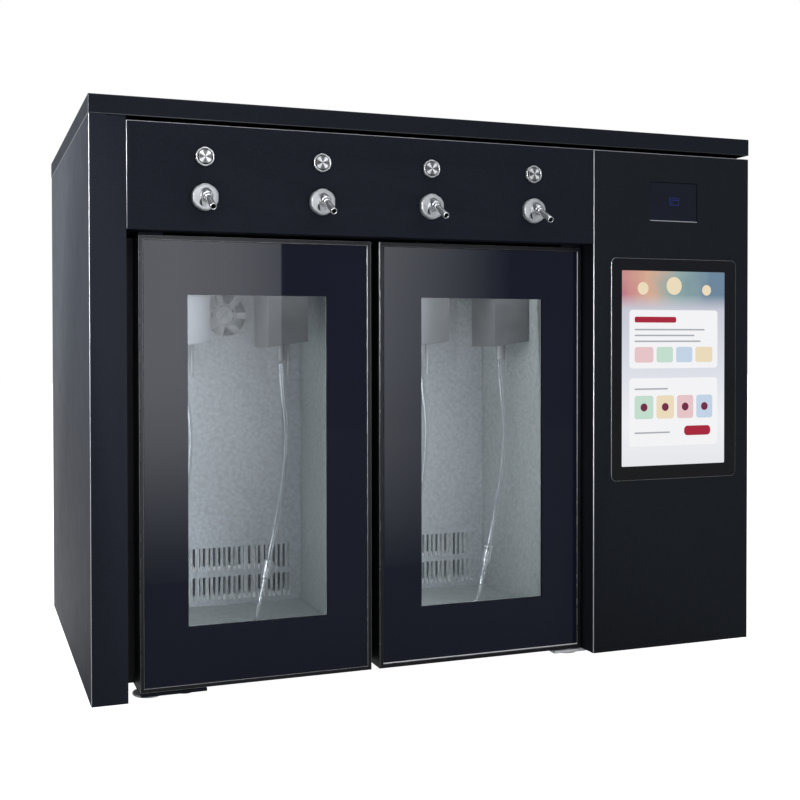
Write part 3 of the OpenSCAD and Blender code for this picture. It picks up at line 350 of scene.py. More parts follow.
class Finish(Nodes):
    """A node material under construction, with one Principled shader."""

    def __init__(self, name, colour, roughness=0.5, metal=0.0, slot=None, **sockets):
        self.material = bpy.data.materials.new(name)
        super().__init__(self.material)
        self.shader = self.tree.nodes["Principled BSDF"]
        values = {"Base Color": colour, "Roughness": roughness, "Metallic": metal, **sockets}
        for key, value in values.items():
            self.shader.inputs[key.replace("_", " ")].default_value = value
        if slot:
            SLOT_OF[name] = slot
        self.place = self.node("ShaderNodeTexCoord").outputs["Object"]

    def moved(self, scale):
        """Object coordinates, stretched."""
        return self.node("ShaderNodeMapping", Vector=self.place, Scale=scale).outputs["Vector"]

    def noise(self, scale, detail=2.0, place=None):
        """Noise of so many turns to the metre."""
        n = self.node("ShaderNodeTexNoise", Vector=place or self.place, Scale=scale, Detail=detail)
        return n.outputs["Fac"]

    def bump(self, height, distance, strength=1.0, under=None):
        """Bump from a height, over the normal of another bump if there is one."""
        n = self.node("ShaderNodeBump", Height=height, Distance=distance, Strength=strength)
        if under is not None:
            self.feed(n.inputs["Normal"], under)
        return n.outputs["Normal"]

    def set(self, socket, value):
        """Feeds one of the shader's own sockets."""
        self.feed(self.shader.inputs[socket], value)

    def blend(self, fac, under, over):
        """Shader under to shader over by fac."""
        n = self.node("ShaderNodeMixShader", Fac=fac)
        self.feed(n.inputs[1], under.outputs[0])
        self.feed(n.inputs[2], over.outputs[0])
        return n

    def surfaced(self, shader):
        """The material with another shader as its surface."""
        self.feed(self.tree.nodes["Material Output"].inputs["Surface"], shader.outputs[0])
        return self.material


def powder_coat(name, colour, slot, speck=0.35, roughness=0.48, shine=0.14):
    """Fine-textured powder coat: orange peel and a pinhead grain in colour and bump."""
    f = Finish(name, colour, roughness, slot=slot, Specular_IOR_Level=shine)
    grain = f.noise(2600, 1.0)
    peel = f.noise(420)
    fleck = f.scaled(grain, 0, 1, 0.35, 0.65)
    f.set("Base Color", f.mix(fleck, times(colour, 1 - speck), times(colour, 1 + speck)))
    f.set("Roughness", f.scaled(f.noise(35, 3.0), roughness - 0.04, roughness + 0.07))
    f.set("Normal", f.bump(grain, 0.00003, 0.6, f.bump(peel, 0.00006, 0.5)))
    return f.material


def brushed(name, colour, slot, roughness=0.28, direction=(1, 60, 1), metal=1.0):
    """Metal with fine lines along one direction."""
    f = Finish(name, colour, roughness, metal, slot)
    lines = f.noise(220, 3.0, f.moved(direction))
    f.set("Roughness", f.scaled(lines, roughness - 0.07, roughness + 0.1, 0.3, 0.7))
    f.set("Normal", f.bump(lines, 0.00002, 0.5))
    return f.material


def polished(name, colour, slot, roughness=0.08, metal=1.0):
    """Polished metal with faint handling marks."""
    f = Finish(name, colour, roughness, metal, slot)
    f.set("Roughness", f.scaled(f.noise(90, 4.0), roughness * 0.7, roughness * 1.9, 0.35, 0.7))
    f.set("Normal", f.bump(f.noise(900, 1.0), 0.000004, 0.4))
    return f.material


def moulded(name, colour, slot, roughness=0.5, grain=900, depth=0.00003):
    """Moulded plastic or rubber with a fine spark-eroded grain."""
    f = Finish(name, colour, roughness, slot=slot)
    skin = f.noise(grain)
    f.set("Base Color", f.mix(f.scaled(f.noise(60), 0, 1, 0.3, 0.7), times(colour, 0.8), colour))
    f.set("Roughness", f.scaled(skin, roughness - 0.06, min(1, roughness + 0.08), 0.3, 0.7))
    f.set("Normal", f.bump(skin, depth, 0.5))
    return f.material


def enamel(name, colour, slot):
    """Enamel print under polished glass: a dark ground with slow clouds, and a mirror gloss over it."""
    f = Finish(name, colour, 0.02, slot=slot, Specular_IOR_Level=0.5)
    f.set("Base Color", f.mix(f.scaled(f.noise(12), 0, 1, 0.3, 0.7), times(colour, 0.9), colour))
    f.set("Roughness", f.scaled(f.noise(9, 3.0), 0.015, 0.035, 0.3, 0.7))
    return f.material


def stucco_sheet(name, colour, slot):
    """Stucco-embossed sheet: soft pebbles a few millimetres apart on satin stainless with a low gloss, its
    colour darker between the pebbles as painted shade.
    """
    f = Finish(name, colour, 0.5, 0.25, slot, Specular_IOR_Level=0.12)
    warp = f.noise(150)
    cells = f.node("ShaderNodeTexVoronoi", Vector=f.place, Scale=240)
    cells.feature = "SMOOTH_F1"
    cells.inputs["Smoothness"].default_value = 0.7
    pebbles = cells.outputs["Distance"]
    height = f.maths("ADD", f.maths("MULTIPLY", pebbles, -1.0), f.maths("MULTIPLY", warp, 0.35))
    # Base colour darker between the pebbles, where the sheet dips: painted shade.
    f.set("Base Color", f.mix(f.scaled(pebbles, 0.0, 1.0, 0.15, 0.75), colour, times(colour, 0.8)))
    f.set("Roughness", f.scaled(warp, 0.42, 0.58))
    f.set("Normal", f.bump(height, 0.0006, 0.75))
    return f.material


def pane(name, tint, slot, ior=1.5, smear=0.12):
    """Flat glass: a tint over what is behind it, under a clear reflection on the face towards the eye.

    The reflection is Fresnel's, a little uneven as on wiped glass. Five times its share goes to a mirror of
    a fifth its colour, which is as bright with far less grain; the tint makes up for that share.
    """
    f = Finish(name, BLACK, 0.0, slot=slot)
    f.tree.nodes.remove(f.shader)
    facing = f.maths("SUBTRACT", 1.0, f.node("ShaderNodeNewGeometry").outputs["Backfacing"])
    gloss = f.node("ShaderNodeFresnel", IOR=ior).outputs[0]
    wiped = f.scaled(f.noise(9, 3.0), 1 - smear, 1 + smear, 0.3, 0.7)
    tone = f.maths("MULTIPLY", f.maths("MAXIMUM", gloss, 0.2), wiped)
    share = f.maths("MULTIPLY", f.maths("MINIMUM", f.maths("MULTIPLY", gloss, 5.0), 1.0), facing)
    clear = f.node("ShaderNodeBsdfTransparent", Color=tint)
    mirror = f.node("ShaderNodeBsdfGlossy", Color=tone, Roughness=0.0)
    return f.surfaced(f.blend(share, clear, mirror))


def clear_plastic(name, tint, slot, body=0.1, rim=0.4, mirror=0.3):
    """Clear tube or moulding: see-through, whitish towards its outline, with a sharp gloss over it.

    body and rim are the opaque shares at the middle and at the outline, mirror is the gloss's share.
    """
    f = Finish(name, tint, 0.12, slot=slot)
    facing = f.node("ShaderNodeLayerWeight", Blend=0.5).outputs["Facing"]
    share = f.maths("ADD", body, f.maths("MULTIPLY", f.maths("POWER", facing, 3.0), rim))
    haze = f.scaled(f.noise(300), 0.85, 1.15, 0.3, 0.7)
    clear = f.node("ShaderNodeBsdfTransparent", Color=(0.95, 0.965, 0.97, 1))
    wet = f.node("ShaderNodeBsdfGlossy", Color=WHITE, Roughness=0.05)
    return f.surfaced(f.blend(f.maths("MULTIPLY", share, haze), f.blend(mirror, clear, wet), f.shader))


def glowing(name, colour, strength, slot):
    """A lit surface of the display, evenly bright, with a faint pixel grain."""
    f = Finish(name, BLACK, 0.25, slot=slot, Emission_Strength=strength)
    grain = f.scaled(f.noise(1500, 1.0), 0, 1, 0.35, 0.65)
    f.set("Emission Color", f.mix(grain, times(colour, 0.96), colour))
    return f.material


coat_black = powder_coat("black_powder_coat", linear(30, 33, 41), "black_paint", 0.35, 0.5, 0.04)
coat_top = powder_coat("top_powder_coat", linear(30, 33, 39), "black_paint", 0.35, 0.5, 0.04)
coat_column = powder_coat("column_powder_coat", linear(31, 34, 38), "black_paint", 0.35, 0.5, 0.04)
coat_side = powder_coat("side_powder_coat", linear(31, 34, 44), "side_paint", 0.3, 0.45, 0.1)
zinc = brushed("zinc_sheet_metal", (0.55, 0.56, 0.57, 1), "zinc_sheet", 0.38)
foam = moulded("foam_outer_skin", (0.02, 0.02, 0.022, 1), "foam_skin", 0.7, 300, 0.0001)
liner = stucco_sheet("embossed_liner", (0.47, 0.50, 0.50, 1), "liner_steel")
cover_sheet = stucco_sheet("embossed_cover", (0.47, 0.49, 0.51, 1), "liner_steel")
fins = brushed("coil_fins", (0.6, 0.61, 0.62, 1), "coil_aluminium", 0.3, (60, 1, 1), 0.4)
fan_black = moulded("fan_moulding", (0.02, 0.02, 0.022, 1), "fan_plastic")
diffuser = glowing("led_diffuser_glow", (1.0, 0.98, 0.95, 1), 2.0, "led_diffuser")
fan_grey = moulded("evaporator_fan_moulding", (0.42, 0.43, 0.44, 1), "fan_plastic")
housing = moulded("housing_moulding", (0.105, 0.11, 0.115, 1), "housing_plastic")
# A lighter copy of the housing moulding for its left side: a painted highlight.
housing_side_painted_light = moulded("housing_side_painted_highlight", (0.21, 0.215, 0.22, 1), "housing_plastic")
nozzle_grey = moulded("nozzle_moulding", (0.3, 0.31, 0.32, 1), "housing_plastic", 0.4)
hose_clear = clear_plastic("clear_wine_hose", (0.62, 0.64, 0.66, 1), "clear_hose", 0.03, 0.3)
# A dimmer, less glossy copy of the clear hose: painted shade.
hose_painted_shade = clear_plastic("clear_wine_hose_painted_shade", (0.55, 0.57, 0.58, 1), "clear_hose", 0.03, 0.2, 0.07)
fitting_clear = clear_plastic("clear_end_fitting", (0.9, 0.92, 0.94, 1), "clear_fitting", 0.1, 0.9, 0.45)
border_print = enamel("door_glass_enamel", (0.0082, 0.0102, 0.0225, 1), "outer_glass")
door_rim = moulded("door_rim_moulding", (0.0045, 0.005, 0.007, 1), "door_plastic", 0.4, 900, 0.00001)
# A lighter coat for rounded edges: a painted highlight along them.
coat_edge_painted_highlight = Finish("coat_with_painted_edge_highlight", (0.05, 0.055, 0.06, 1), 0.3, 0.5).material
# A pale metal for rounded edges: a painted highlight along the edges that take it.
painted_highlight_edge = Finish("pale_edge_painted_highlight", (0.7, 0.71, 0.73, 1), 0.3, 0.6).material
strip_metal = polished("polished_edge_strip", (0.4, 0.405, 0.415, 1), "door_plastic", 0.2)
# A white strip: a painted highlight along the right door glass's bottom edge.
white_strip_highlight = moulded("white_strip_painted_highlight", (0.9, 0.9, 0.9, 1), "outer_glass", 0.3, 900, 0.00001)
spacer = Finish("aluminium_spacer", (0.85, 0.86, 0.87, 1), 0.35, 0.3).material
glass_outer = pane("tinted_door_glass", (0.92, 0.935, 0.95, 1), "outer_glass")
glass_edge = Finish("polished_glass_edge", (0.3, 0.31, 0.32, 1), 0.25, 0.8).material
glass_inner = pane("inner_door_glass", (0.93, 0.94, 0.94, 1), "inner_glass", 1.15)
gasket = moulded("gasket_rubber_skin", (0.015, 0.015, 0.015, 1), "gasket_rubber", 0.6)
bracket = brushed("zinc_plate_bracket", (0.6, 0.6, 0.61, 1), "bracket_steel", 0.3)
flange_metal = polished("satin_stainless", (0.5, 0.505, 0.51, 1), "polished_steel", 0.3, 0.35)
chrome = polished("polished_stainless", (0.62, 0.625, 0.63, 1), "polished_steel", 0.2, 0.6)
tube_chrome = polished("polished_spout", (0.75, 0.755, 0.76, 1), "polished_steel", 0.12, 0.75)
valve_dark = moulded("valve_moulding", (0.03, 0.032, 0.035, 1), "valve_body", 0.35)
bar_metal = brushed("manifold_bar", (0.6, 0.6, 0.62, 1), "manifold_metal", 0.3)
brass = polished("turned_brass", (0.7, 0.52, 0.22, 1), "brass_fitting", 0.2)
case_grey = powder_coat("module_case_coat", (0.08, 0.085, 0.09, 1), "module_case")
board_green = moulded("solder_mask", (0.01, 0.09, 0.035, 1), "circuit_board", 0.3)
supply_metal = brushed("supply_case_metal", (0.6, 0.6, 0.61, 1), "supply_case", 0.35)
pot_black = powder_coat("compressor_paint_coat", (0.015, 0.015, 0.016, 1), "compressor_paint", 0.2, 0.3)
inlet_black = moulded("inlet_moulding", (0.018, 0.018, 0.02, 1), "inlet_plastic", 0.45)
rocker_red = moulded("rocker_moulding", (0.4, 0.02, 0.02, 1), "switch_plastic", 0.3)
# Near black: painted shade in the spouts' bores and under their roots.
painted_shade_black = moulded("painted_shade_black", (0.004, 0.004, 0.004, 1), "polished_steel", 0.6, 900, 0.00001)
foot_black = moulded("foot_rubber_skin", (0.012, 0.012, 0.012, 1), "foot_rubber", 0.75)


def dark_glass():
    """Black-backed cover glass, with a faint smear in its gloss."""
    f = Finish("display_cover_glass", (0.006, 0.006, 0.008, 1), 0.06, slot="display_cover",
               Specular_IOR_Level=0.5, Coat_Weight=0.3, Coat_Roughness=0.03)
    f.set("Roughness", f.scaled(f.noise(18, 4.0), 0.04, 0.12, 0.35, 0.7))
    return f.material


def smoked_window():
    """Smoked window of the card reader, a little blue inside."""
    f = Finish("smoked_reader_window", (0.006, 0.008, 0.016, 1), 0.1, slot="reader_window",
               Specular_IOR_Level=0.5, Coat_Weight=0.5, Coat_Roughness=0.04)
    f.set("Base Color", f.mix(f.noise(25), (0.003, 0.0045, 0.009, 1), (0.006, 0.009, 0.022, 1)))
    f.set("Roughness", f.scaled(f.noise(30, 3.0), 0.08, 0.16))
    return f.material


cover_glass = dark_glass()
reader_glass = smoked_window()


# ---- casing

OUTSIDE, WITHIN = 0.001, 0.0003


def left_edge(low, high):
    """Box round a panel's front left edge."""
    return low - OUTSIDE, (low[0] + WITHIN, low[1] + WITHIN, high[2] + OUTSIDE)


def top_edge(low, high):
    """Box round a panel's front top edge."""
    return ((low[0] - OUTSIDE, low[1] - OUTSIDE, high[2] - WITHIN),
            (high[0] + OUTSIDE, low[1] + WITHIN, high[2] + OUTSIDE))


# The left and top front edges of these panels take the pale edge finish, a painted highlight along them.
for node, material, edge, bright_edges in (
    ("column_front_panel", coat_column, 0.0007, (left_edge, top_edge)),
    ("control_fascia", coat_black, 0.0005, (left_edge, top_edge)),
    ("left_side_panel", coat_side, 0.0005, (left_edge,)),
):
    finished(node, material, edge, 2, painted_highlight_edge, bright=[box(*span(node)) for box in bright_edges])

# The top and right side panels take the lighter edge coat on their rounded edges, a painted highlight.
for node, material, edge, segments, edge_material in (
    ("top_panel", coat_top, 0.0008, 3, coat_edge_painted_highlight),
    ("right_side_panel", coat_side, 0.0005, 3, coat_edge_painted_highlight),
    ("display_glass", cover_glass, 0.0008, 3, glass_edge),
    ("outer_glass_left", glass_outer, 0.0004, 2, None),
    ("outer_glass_right", glass_outer, 0.0004, 2, None),
    ("card_reader", reader_glass, 0.0005, 2, None),
    ("power_supply", supply_metal, 0.0006, 2, None),
    ("mains_inlet", inlet_black, 0.0005, 2, None),
    ("power_switch", rocker_red, 0.0005, 2, None),
    ("gas_inlet", brass, 0.0004, 2, None),
    ("casing_screws", bracket, 0.0003, 2, None),
):
    finished(node, material, edge, segments, edge_material)


def printed_border(side, low, high, mid, depth=0.0001):
    """The glass's printed border: a flat ring from its edge to the window, as a profile carried round it."""
    inset, y = 0.0004, low[1]
    outer = np.array([low[0] + inset, low[2] + inset, high[0] - inset, high[2] - inset])
    inner = np.array([mid[0] - WINDOW_W / 2, mid[2] - WINDOW_H / 2,
                      mid[0] + WINDOW_W / 2, mid[2] + WINDOW_H / 2])
    loops = [(outer, y - depth), (inner, y - depth), (inner, y + depth), (outer, y + depth)]
    points = [[(r[a], at_y, r[b]) for r, at_y in loops] for a, b in ((0, 1), (2, 1), (2, 3), (0, 3))]
    faces = grid_faces(4, 4, close_rows=True, close_columns=True)
    piece = mesh_piece(f"printed_border_{side}", np.array(points).reshape(-1, 3), faces, smooth=False)
    settled(piece, border_print, f"door_{side}")


# A door frame's rounded edges take the pale edge finish, a painted highlight; the window's opening shows the
# aluminium spacer.
for side in ("left", "right"):
    low, high = span(f"outer_glass_{side}")
    mid = (low + high) / 2
    window = np.array([WINDOW_W / 2 + WINDOW_PLAY, 1, WINDOW_H / 2 + WINDOW_PLAY])
    up = np.array([0, 0, WINDOW_RISE])
    finished(f"door_frame_{side}", door_rim, 0.0008, 3, painted_highlight_edge,
             [(spacer, mid + up - window, mid + up + window)])
    printed_border(side, low, high, mid + up)

# The right bottom plate takes a bright aluminium finish, a painted highlight; the left one and the top straps
# are coated black.
low, high = span("hinge_brackets")
finished("hinge_brackets", bracket, 0.0004,
         zones=[(spacer, (0, low[1], low[2]), high - (0, 0, 0.3)),
                (coat_black, low + (0, 0, 0.05), high),
                (coat_black, low, (0, high[1], high[2]))])

# A port housing's nozzles are of a lighter grey. Its left side is painted lighter, a painted highlight: a lit
# copy of the housing's moulding.
HOUSING_FOOT = span("port_housings")[0][2]
housing_zones = []
for i in (1, 2, 3, 4):
    x, y, _ = hose_top(i)
    housing_zones += [
        (nozzle_grey, (x - 0.006, y - 0.006, HOUSING_FOOT - 0.001),
         (x + 0.012, y + 0.006, HOUSING_FOOT + 0.045)),
        (housing_side_painted_light, (x - 0.0225, y - 0.05, HOUSING_FOOT), (x - 0.0215, y + 0.05, 1))]
finished("port_housings", housing, 0.001, zones=housing_zones)

for material, *dressed in (
    (coat_black, "rear_panel", "base_plate"),
    (zinc, "column_partition"),
    (foam, "insulated_cabinet"),
    (liner, "cavity_liners"),
    (cover_sheet, "evaporator_covers"),
    (fins, "evaporators", "condenser"),
    (fan_grey, "evaporator_fan_frames", "evaporator_rotor_left", "evaporator_rotor_right"),
    (diffuser, "led_strips"),
    (glass_inner, "inner_glass_left", "inner_glass_right"),
    (valve_dark, "solenoid_valves"),
    (hose_clear, "wine_tubes"),
    (bar_metal, "gas_manifold"),
    (case_grey, "display_module"),
    (board_green, "controller_board"),
    (pot_black, "compressor"),
    (fan_black, "condenser_fan_frame", "condenser_fan_rotor"),
    (foot_black, "rubber_feet"),
):
    for node in dressed:
        dress(nodes[node], material)


TRIM_SEAT = 0.0012


def half_round(name, ends, start, width, face, proud, steps=7, upright=False):
    """A straight half-round trim between two ends along X, or along Z if it is upright.

    It starts at start on the other axis, is so wide, and stands proud of the face at that y.
    """
    a = np.linspace(0, np.pi, steps)
    across = start + width / 2 * (1 - np.cos(a))
    y = face + TRIM_SEAT - (TRIM_SEAT + proud) * np.sin(a)
    runs = [np.full(steps, end) for end in ends]
    points = np.concatenate([np.stack([across, y, run] if upright else [run, y, across], -1) for run in runs])
    caps = [tuple(range(steps)), tuple(range(steps, 2 * steps))[::-1]]
    return mesh_piece(name, points, [*grid_faces(2, steps, close_columns=True), *caps], smooth=False)


for side in ("left", "right"):
    frame_low, frame_high = span(f"door_frame_{side}")
    glass_low, glass_high = span(f"outer_glass_{side}")
    for name, low, high, start, width, slot in (
        ("frame_strip", frame_low, frame_high, frame_low[0] + 0.0004, 0.0009, "door_plastic"),
        ("glass_strip", glass_low, glass_high, glass_high[0] - 0.0005, 0.0010, "outer_glass"),
    ):
        ends = (low[2] + 0.001, high[2] - 0.001)
        strip = half_round(f"{name}_{side}", ends, start, width, low[1], 0.0003, 9, upright=True)
        settled(strip, strip_metal, f"door_{side}", slot=slot)

# A white strip under the right door's glass only: a painted highlight along its bottom edge.
low, high = span("outer_glass_right")
highlight_strip = half_round("painted_highlight_strip_right", (low[0], high[0]), low[2] - 0.0001, 0.0016, low[1], 0.0007)
settled(highlight_strip, white_strip_highlight, "door_right", slot="outer_glass")
low, high = span("card_reader")
ends = (low[0] + READER_FLANGE, high[0] - READER_FLANGE)
lip = half_round("reader_lip", ends, low[2] + READER_FLANGE, 0.0011, low[1], 0.0009)
settled(lip, spacer, "casing", slot="reader_window")


# ---- buttons and taps

def hexagon(across_flats, round_radius):
    """Radius by angle of a hexagon whose corners a circle rounds off, as a share of its apothem.

    A flat side lies at the apothem over the cosine of the angle from its middle, and the radius never
    passes round_radius.
    """
    apothem = across_flats / 2

    def outline(a, count):
        from_flat = (a + np.pi / 6) % (np.pi / 3) - np.pi / 6
        r = np.minimum(apothem / np.cos(from_flat), round_radius) / apothem
        return np.repeat(r[None, :], count, 0)

    return outline


def blend_outline(outline, shares):
    """An outline that passes from the given shape, share 1, to a circle, share 0, along the profile."""
    shares = np.asarray(shares, float)[:, None]
    return lambda a, count: 1 + (outline(a, count) - 1) * shares


def button_bezel(x):
    """Rounded-hexagon ring with a chamfered brim, a dark groove inside and the barrel with its nut behind."""
    shape = hexagon(0.018, 0.018 * 1.035 / 2)
    at = (x, FRONT, BUTTON_Z)
    rim = [(0.0073, -0.0045), (0.0073, 0.0030), (0.0077, 0.0037), (0.0082, 0.0040), (0.0086, 0.0039),
           (0.0089, 0.0034), (0.0090, 0.0026), (0.0090, 0.0001)]
    brim = turned(rim, at, FORWARD, 96, blend_outline(shape, [0, 0, 0.15, 0.6, 0.9, 1, 1, 1]))
    tail = [(0.0073, -0.0045), (0.0030, -0.0046), (0.0030, -0.0238), (0.0080, -0.0238), (0.0080, 0.0001),
            (0.0090, 0.0001)]
    barrel = turned(tail, at, FORWARD, 96, blend_outline(shape, [0, 0, 0, 0, 0, 1]))
    nut = turned([(0.0080, -0.0016), (0.0110, -0.0016), (0.0110, -0.0044), (0.0080, -0.0044)],
                 at, FORWARD, 96, hexagon(0.022, 0.0127))
    return join([brim, barrel, nut])


def push_cap():
    """Dished cap with a rolled edge, on its stem: radius against height from the fascia."""
    r = np.linspace(0, 0.0058, 18)
    dish = 0.0041 + 0.0003 * (r / 0.0058) ** 2
    edge = [(0.0062, 0.00442), (0.0065, 0.0043), (0.0067, 0.0040), (0.0068, 0.0035), (0.0068, 0.0004),
            (0.0025, 0.0004), (0.0025, -0.0194), (0.0, -0.0195)]
    return [*zip(r, dish), *edge]


def spun_metal_painted_sheen():
    """Turned stainless disc: fine rings about each cap's own centre, and a four-armed sheen painted into the
    base colour, a painted highlight.
    """
    f = Finish("turned_button_face_painted_sheen", (0.5, 0.505, 0.51, 1), 0.35, 0.5, "polished_steel", Anisotropic=0.8)
    tangent = f.node("ShaderNodeTangent")
    tangent.direction_type = "UV_MAP"
    tangent.uv_map = "rings"
    f.set("Tangent", tangent.outputs[0])
    uv = f.node("ShaderNodeUVMap")
    uv.uv_map = "rings"
    stretched = f.node("ShaderNodeMapping", Vector=uv.outputs[0], Scale=(0.3, 240, 1)).outputs[0]
    rings = f.noise(1.0, 2.0, stretched)
    angle = f.split(uv.outputs[0])["X"]
    # Four arms round each cap's centre, lighter in the base colour: a painted highlight, the sheen of the
    # turned face.
    painted_sheen_arms = f.maths("SINE", f.maths("MULTIPLY", f.maths("ADD", angle, -0.0625), 8 * math.pi))
    painted_sheen_arms = f.scaled(painted_sheen_arms, 0, 1, -1, 1)
    f.set("Base Color", f.ramp(painted_sheen_arms, (0.0, 0.10), (0.45, 0.22), (0.75, 0.7), (1.0, 0.95)))
    f.set("Roughness", f.scaled(rings, 0.26, 0.42, 0.3, 0.7))
    f.set("Normal", f.bump(rings, 0.00001, 0.4))
    return f.material


def ring_map(mesh, at):
    """UV map: along U the angle round the Y axis through a point, along V the radius in centimetres."""
    x, _, z = (coordinates(mesh) - np.array(at)).T
    corner = numbers(mesh.loops, "vertex_index")
    angle = (np.arctan2(z, x) / (2 * np.pi) + 0.5)[corner]
    highest = np.maximum.reduceat(angle, numbers(mesh.polygons, "loop_start"))
    angle += np.repeat(highest, numbers(mesh.polygons, "loop_total")) - angle > 0.5
    layer = mesh.uv_layers.new(name="rings")
    layer.data.foreach_set("uv", np.stack([angle, np.hypot(x, z)[corner] * 100], -1).ravel())


bezels = mesh_piece("button_bezel_rings", *join([button_bezel(x) for x in TAP_X]))
settled(bezels, chrome, "casing", "button_bezels")

turned_face_painted_sheen = spun_metal_painted_sheen()
for i, x in enumerate(TAP_X, 1):
    cap = mesh_piece(f"push_cap_{i}", *turned(push_cap(), (x, FRONT, BUTTON_Z), FORWARD, 72))
    settled(cap, turned_face_painted_sheen, f"tap_button_{i}", f"button_{i}")
    ring_map(cap.data, (x, FRONT, BUTTON_Z))

SLOPE = math.radians(27)
SPOUT_ROOT = np.array([0, -0.008, 0.0025])
BORE_R, BORE_FOOT = 0.0023, 0.0005
SPOUT_AIM = np.array([0, -math.cos(SLOPE), -math.sin(SLOPE)])


def tap_flange(x):
    """Hexagon flange with a chamfered brim, faint rings and a small dome, then the tail with its nut."""
    shape = hexagon(0.0256, 0.0256 * 1.03 / 2)
    front = [(0.0, 0.0102), (0.0030, 0.0102), (0.0040, 0.0098), (0.0045, 0.0088), (0.0048, 0.0074),
             (0.0053, 0.0066), (0.0066, 0.0063), (0.0080, 0.0064), (0.0096, 0.0060), (0.0110, 0.0061),
             (0.0118, 0.0058), (0.0124, 0.0052), (0.0127, 0.0044), (0.0128, 0.0001), (0.0070, 0.0001),
             (0.0070, -0.0258), (0.0032, -0.0258), (0.0031, -0.0020), (0.0, -0.0018)]
    shares = [0, 0, 0, 0, 0, 0, 0, 0.2, 0.5, 0.9, 1, 1, 1, 1, 0, 0, 0, 0, 0]
    head = turned(front, (x, FRONT, TAP_Z), FORWARD, 120, blend_outline(shape, shares))
    nut = turned([(0.0070, -0.0016), (0.0100, -0.0016), (0.0100, -0.0064), (0.0070, -0.0064)],
                 (x, FRONT, TAP_Z), FORWARD, 96, hexagon(0.020, 0.01155))
    return join([head, nut])


flanges = mesh_piece("tap_flange_heads", *join([tap_flange(x) for x in TAP_X]))
settled(flanges, flange_metal, "casing", "tap_flanges")


def spout_profile():
    """Stepped collar, waisted neck and a plain tube with a rounded lip, bored back from the tip."""
    return [(0.0, -0.0039), (0.0049, -0.0039), (0.0055, -0.0034), (0.0055, 0.0068), (0.0052, 0.0076),
            (0.0044, 0.0079), (0.0042, 0.0086), (0.0042, 0.0104), (0.0040, 0.0112), (0.00325, 0.0116),
            (0.00325, 0.0340), (0.0031, 0.03475), (0.0028, 0.0350), (0.0024, 0.03485), (0.00225, 0.0345),
            (0.00225, 0.0012), (0.0, 0.0010)]


# A spout's bore takes the near-black finish: painted shade inside the tube.
for i, x in enumerate(TAP_X, 1):
    root = np.array([x, FRONT, TAP_Z]) + SPOUT_ROOT
    spout = mesh_piece(f"spout_tube_{i}", *turned(spout_profile(), root, tuple(SPOUT_AIM), 56))
    settled(spout, tube_chrome, "casing", f"spout_{i}", rounded=(0.00015, 2, 40))
    spout.data.materials.append(painted_shade_black)
    from_root = coordinates(spout.data) - root
    along = from_root @ SPOUT_AIM
    from_axis = np.linalg.norm(from_root - along[:, None] * SPOUT_AIM, axis=1)
    bore_painted_shade = (from_axis < BORE_R) & (along > BORE_FOOT)
    spout.data.polygons.foreach_set(
        "material_index", [int(all(bore_painted_shade[v] for v in face.vertices)) for face in spout.data.polygons])


def shade_crescent(x, steps=15):
    """Painted shade under the spout's root: a dark crescent bent about the collar, widest below its middle.
    """
    t = np.linspace(0, 1, steps)
    a = math.radians(185) + t * math.radians(62)
    half = 0.0013 * np.sin(np.pi * t ** 1.3)
    reach = 0.0046 + 0.0040 * t
    rings = []
    for side, back in ((-1, 0), (0, -0.0001), (1, 0), (0, 0.0009)):
        r = reach + side * half
        rings.append(np.stack([x + r * np.cos(a), np.full(steps, FRONT - 0.0067 + back),
                               TAP_Z - 0.0012 + r * np.sin(a)], -1))
    return np.stack(rings, 1).reshape(-1, 3), grid_faces(steps, 4, close_columns=True)


# A near-black crescent on each flange: painted shade under the spout's root.
shade_crescents = mesh_piece("tap_painted_shade_crescents", *join([shade_crescent(x) for x in TAP_X]))
settled(shade_crescents, painted_shade_black, "casing")


# ---- hoses

HOSE_ROUTE = np.array([
    (0, 0, 0), (0, 0, -12), (1, 0, -27), (2.5, 0, -42), (4.3, 0, -56), (5.5, 0, -70),
    (6, 0, -84), (5.5, 0, -98), (4.5, 0, -112), (3, 0, -126), (1, 0, -140), (-1.5, 0, -154),
    (-4, 0, -168), (-6.5, 0, -182), (-9.5, 0, -196), (-12, 0, -208), (-14.5, 0, -219)]) / 1000


def resampled(path, count):
    """Points evenly spaced along a path, eased by a cubic through its own points."""
    steps = np.linalg.norm(np.diff(path, axis=0), axis=1)
    s = np.concatenate([[0], np.cumsum(steps)])
    t = np.linspace(0, s[-1], count)
    slopes = np.gradient(path, s, axis=0)
    k = np.clip(np.searchsorted(s, t, side="right") - 1, 0, len(s) - 2)
    h = (s[k + 1] - s[k])[:, None]
    u = ((t - s[k]) / (s[k + 1] - s[k]))[:, None]
    p0, p1, m0, m1 = path[k], path[k + 1], slopes[k] * h, slopes[k + 1] * h
    return ((2 * u**3 - 3 * u**2 + 1) * p0 + (u**3 - 2 * u**2 + u) * m0
            + (-2 * u**3 + 3 * u**2) * p1 + (u**3 - u**2) * m1)


def tube(path, radius, sides=20):
    """Rings of a circle carried along a path that lies in a plane of constant Y, with flat ends."""
    heading = np.gradient(path, axis=0)
    heading /= np.linalg.norm(heading, axis=1)[:, None]
    side = np.tile([0.0, 1.0, 0.0], (len(path), 1))
    up = np.cross(heading, side)
    a = np.linspace(0, 2 * np.pi, sides, endpoint=False)
    ring = np.cos(a)[None, :, None] * side[:, None, :] + np.sin(a)[None, :, None] * up[:, None, :]
    points = (path[:, None, :] + radius * ring).reshape(-1, 3)
    faces = [tuple(f) for f in grid_faces(len(path), sides, close_columns=True)]
    faces.append(tuple(range(sides)))
    faces.append(tuple(range((len(path) - 1) * sides, len(path) * sides))[::-1])
    return points, faces


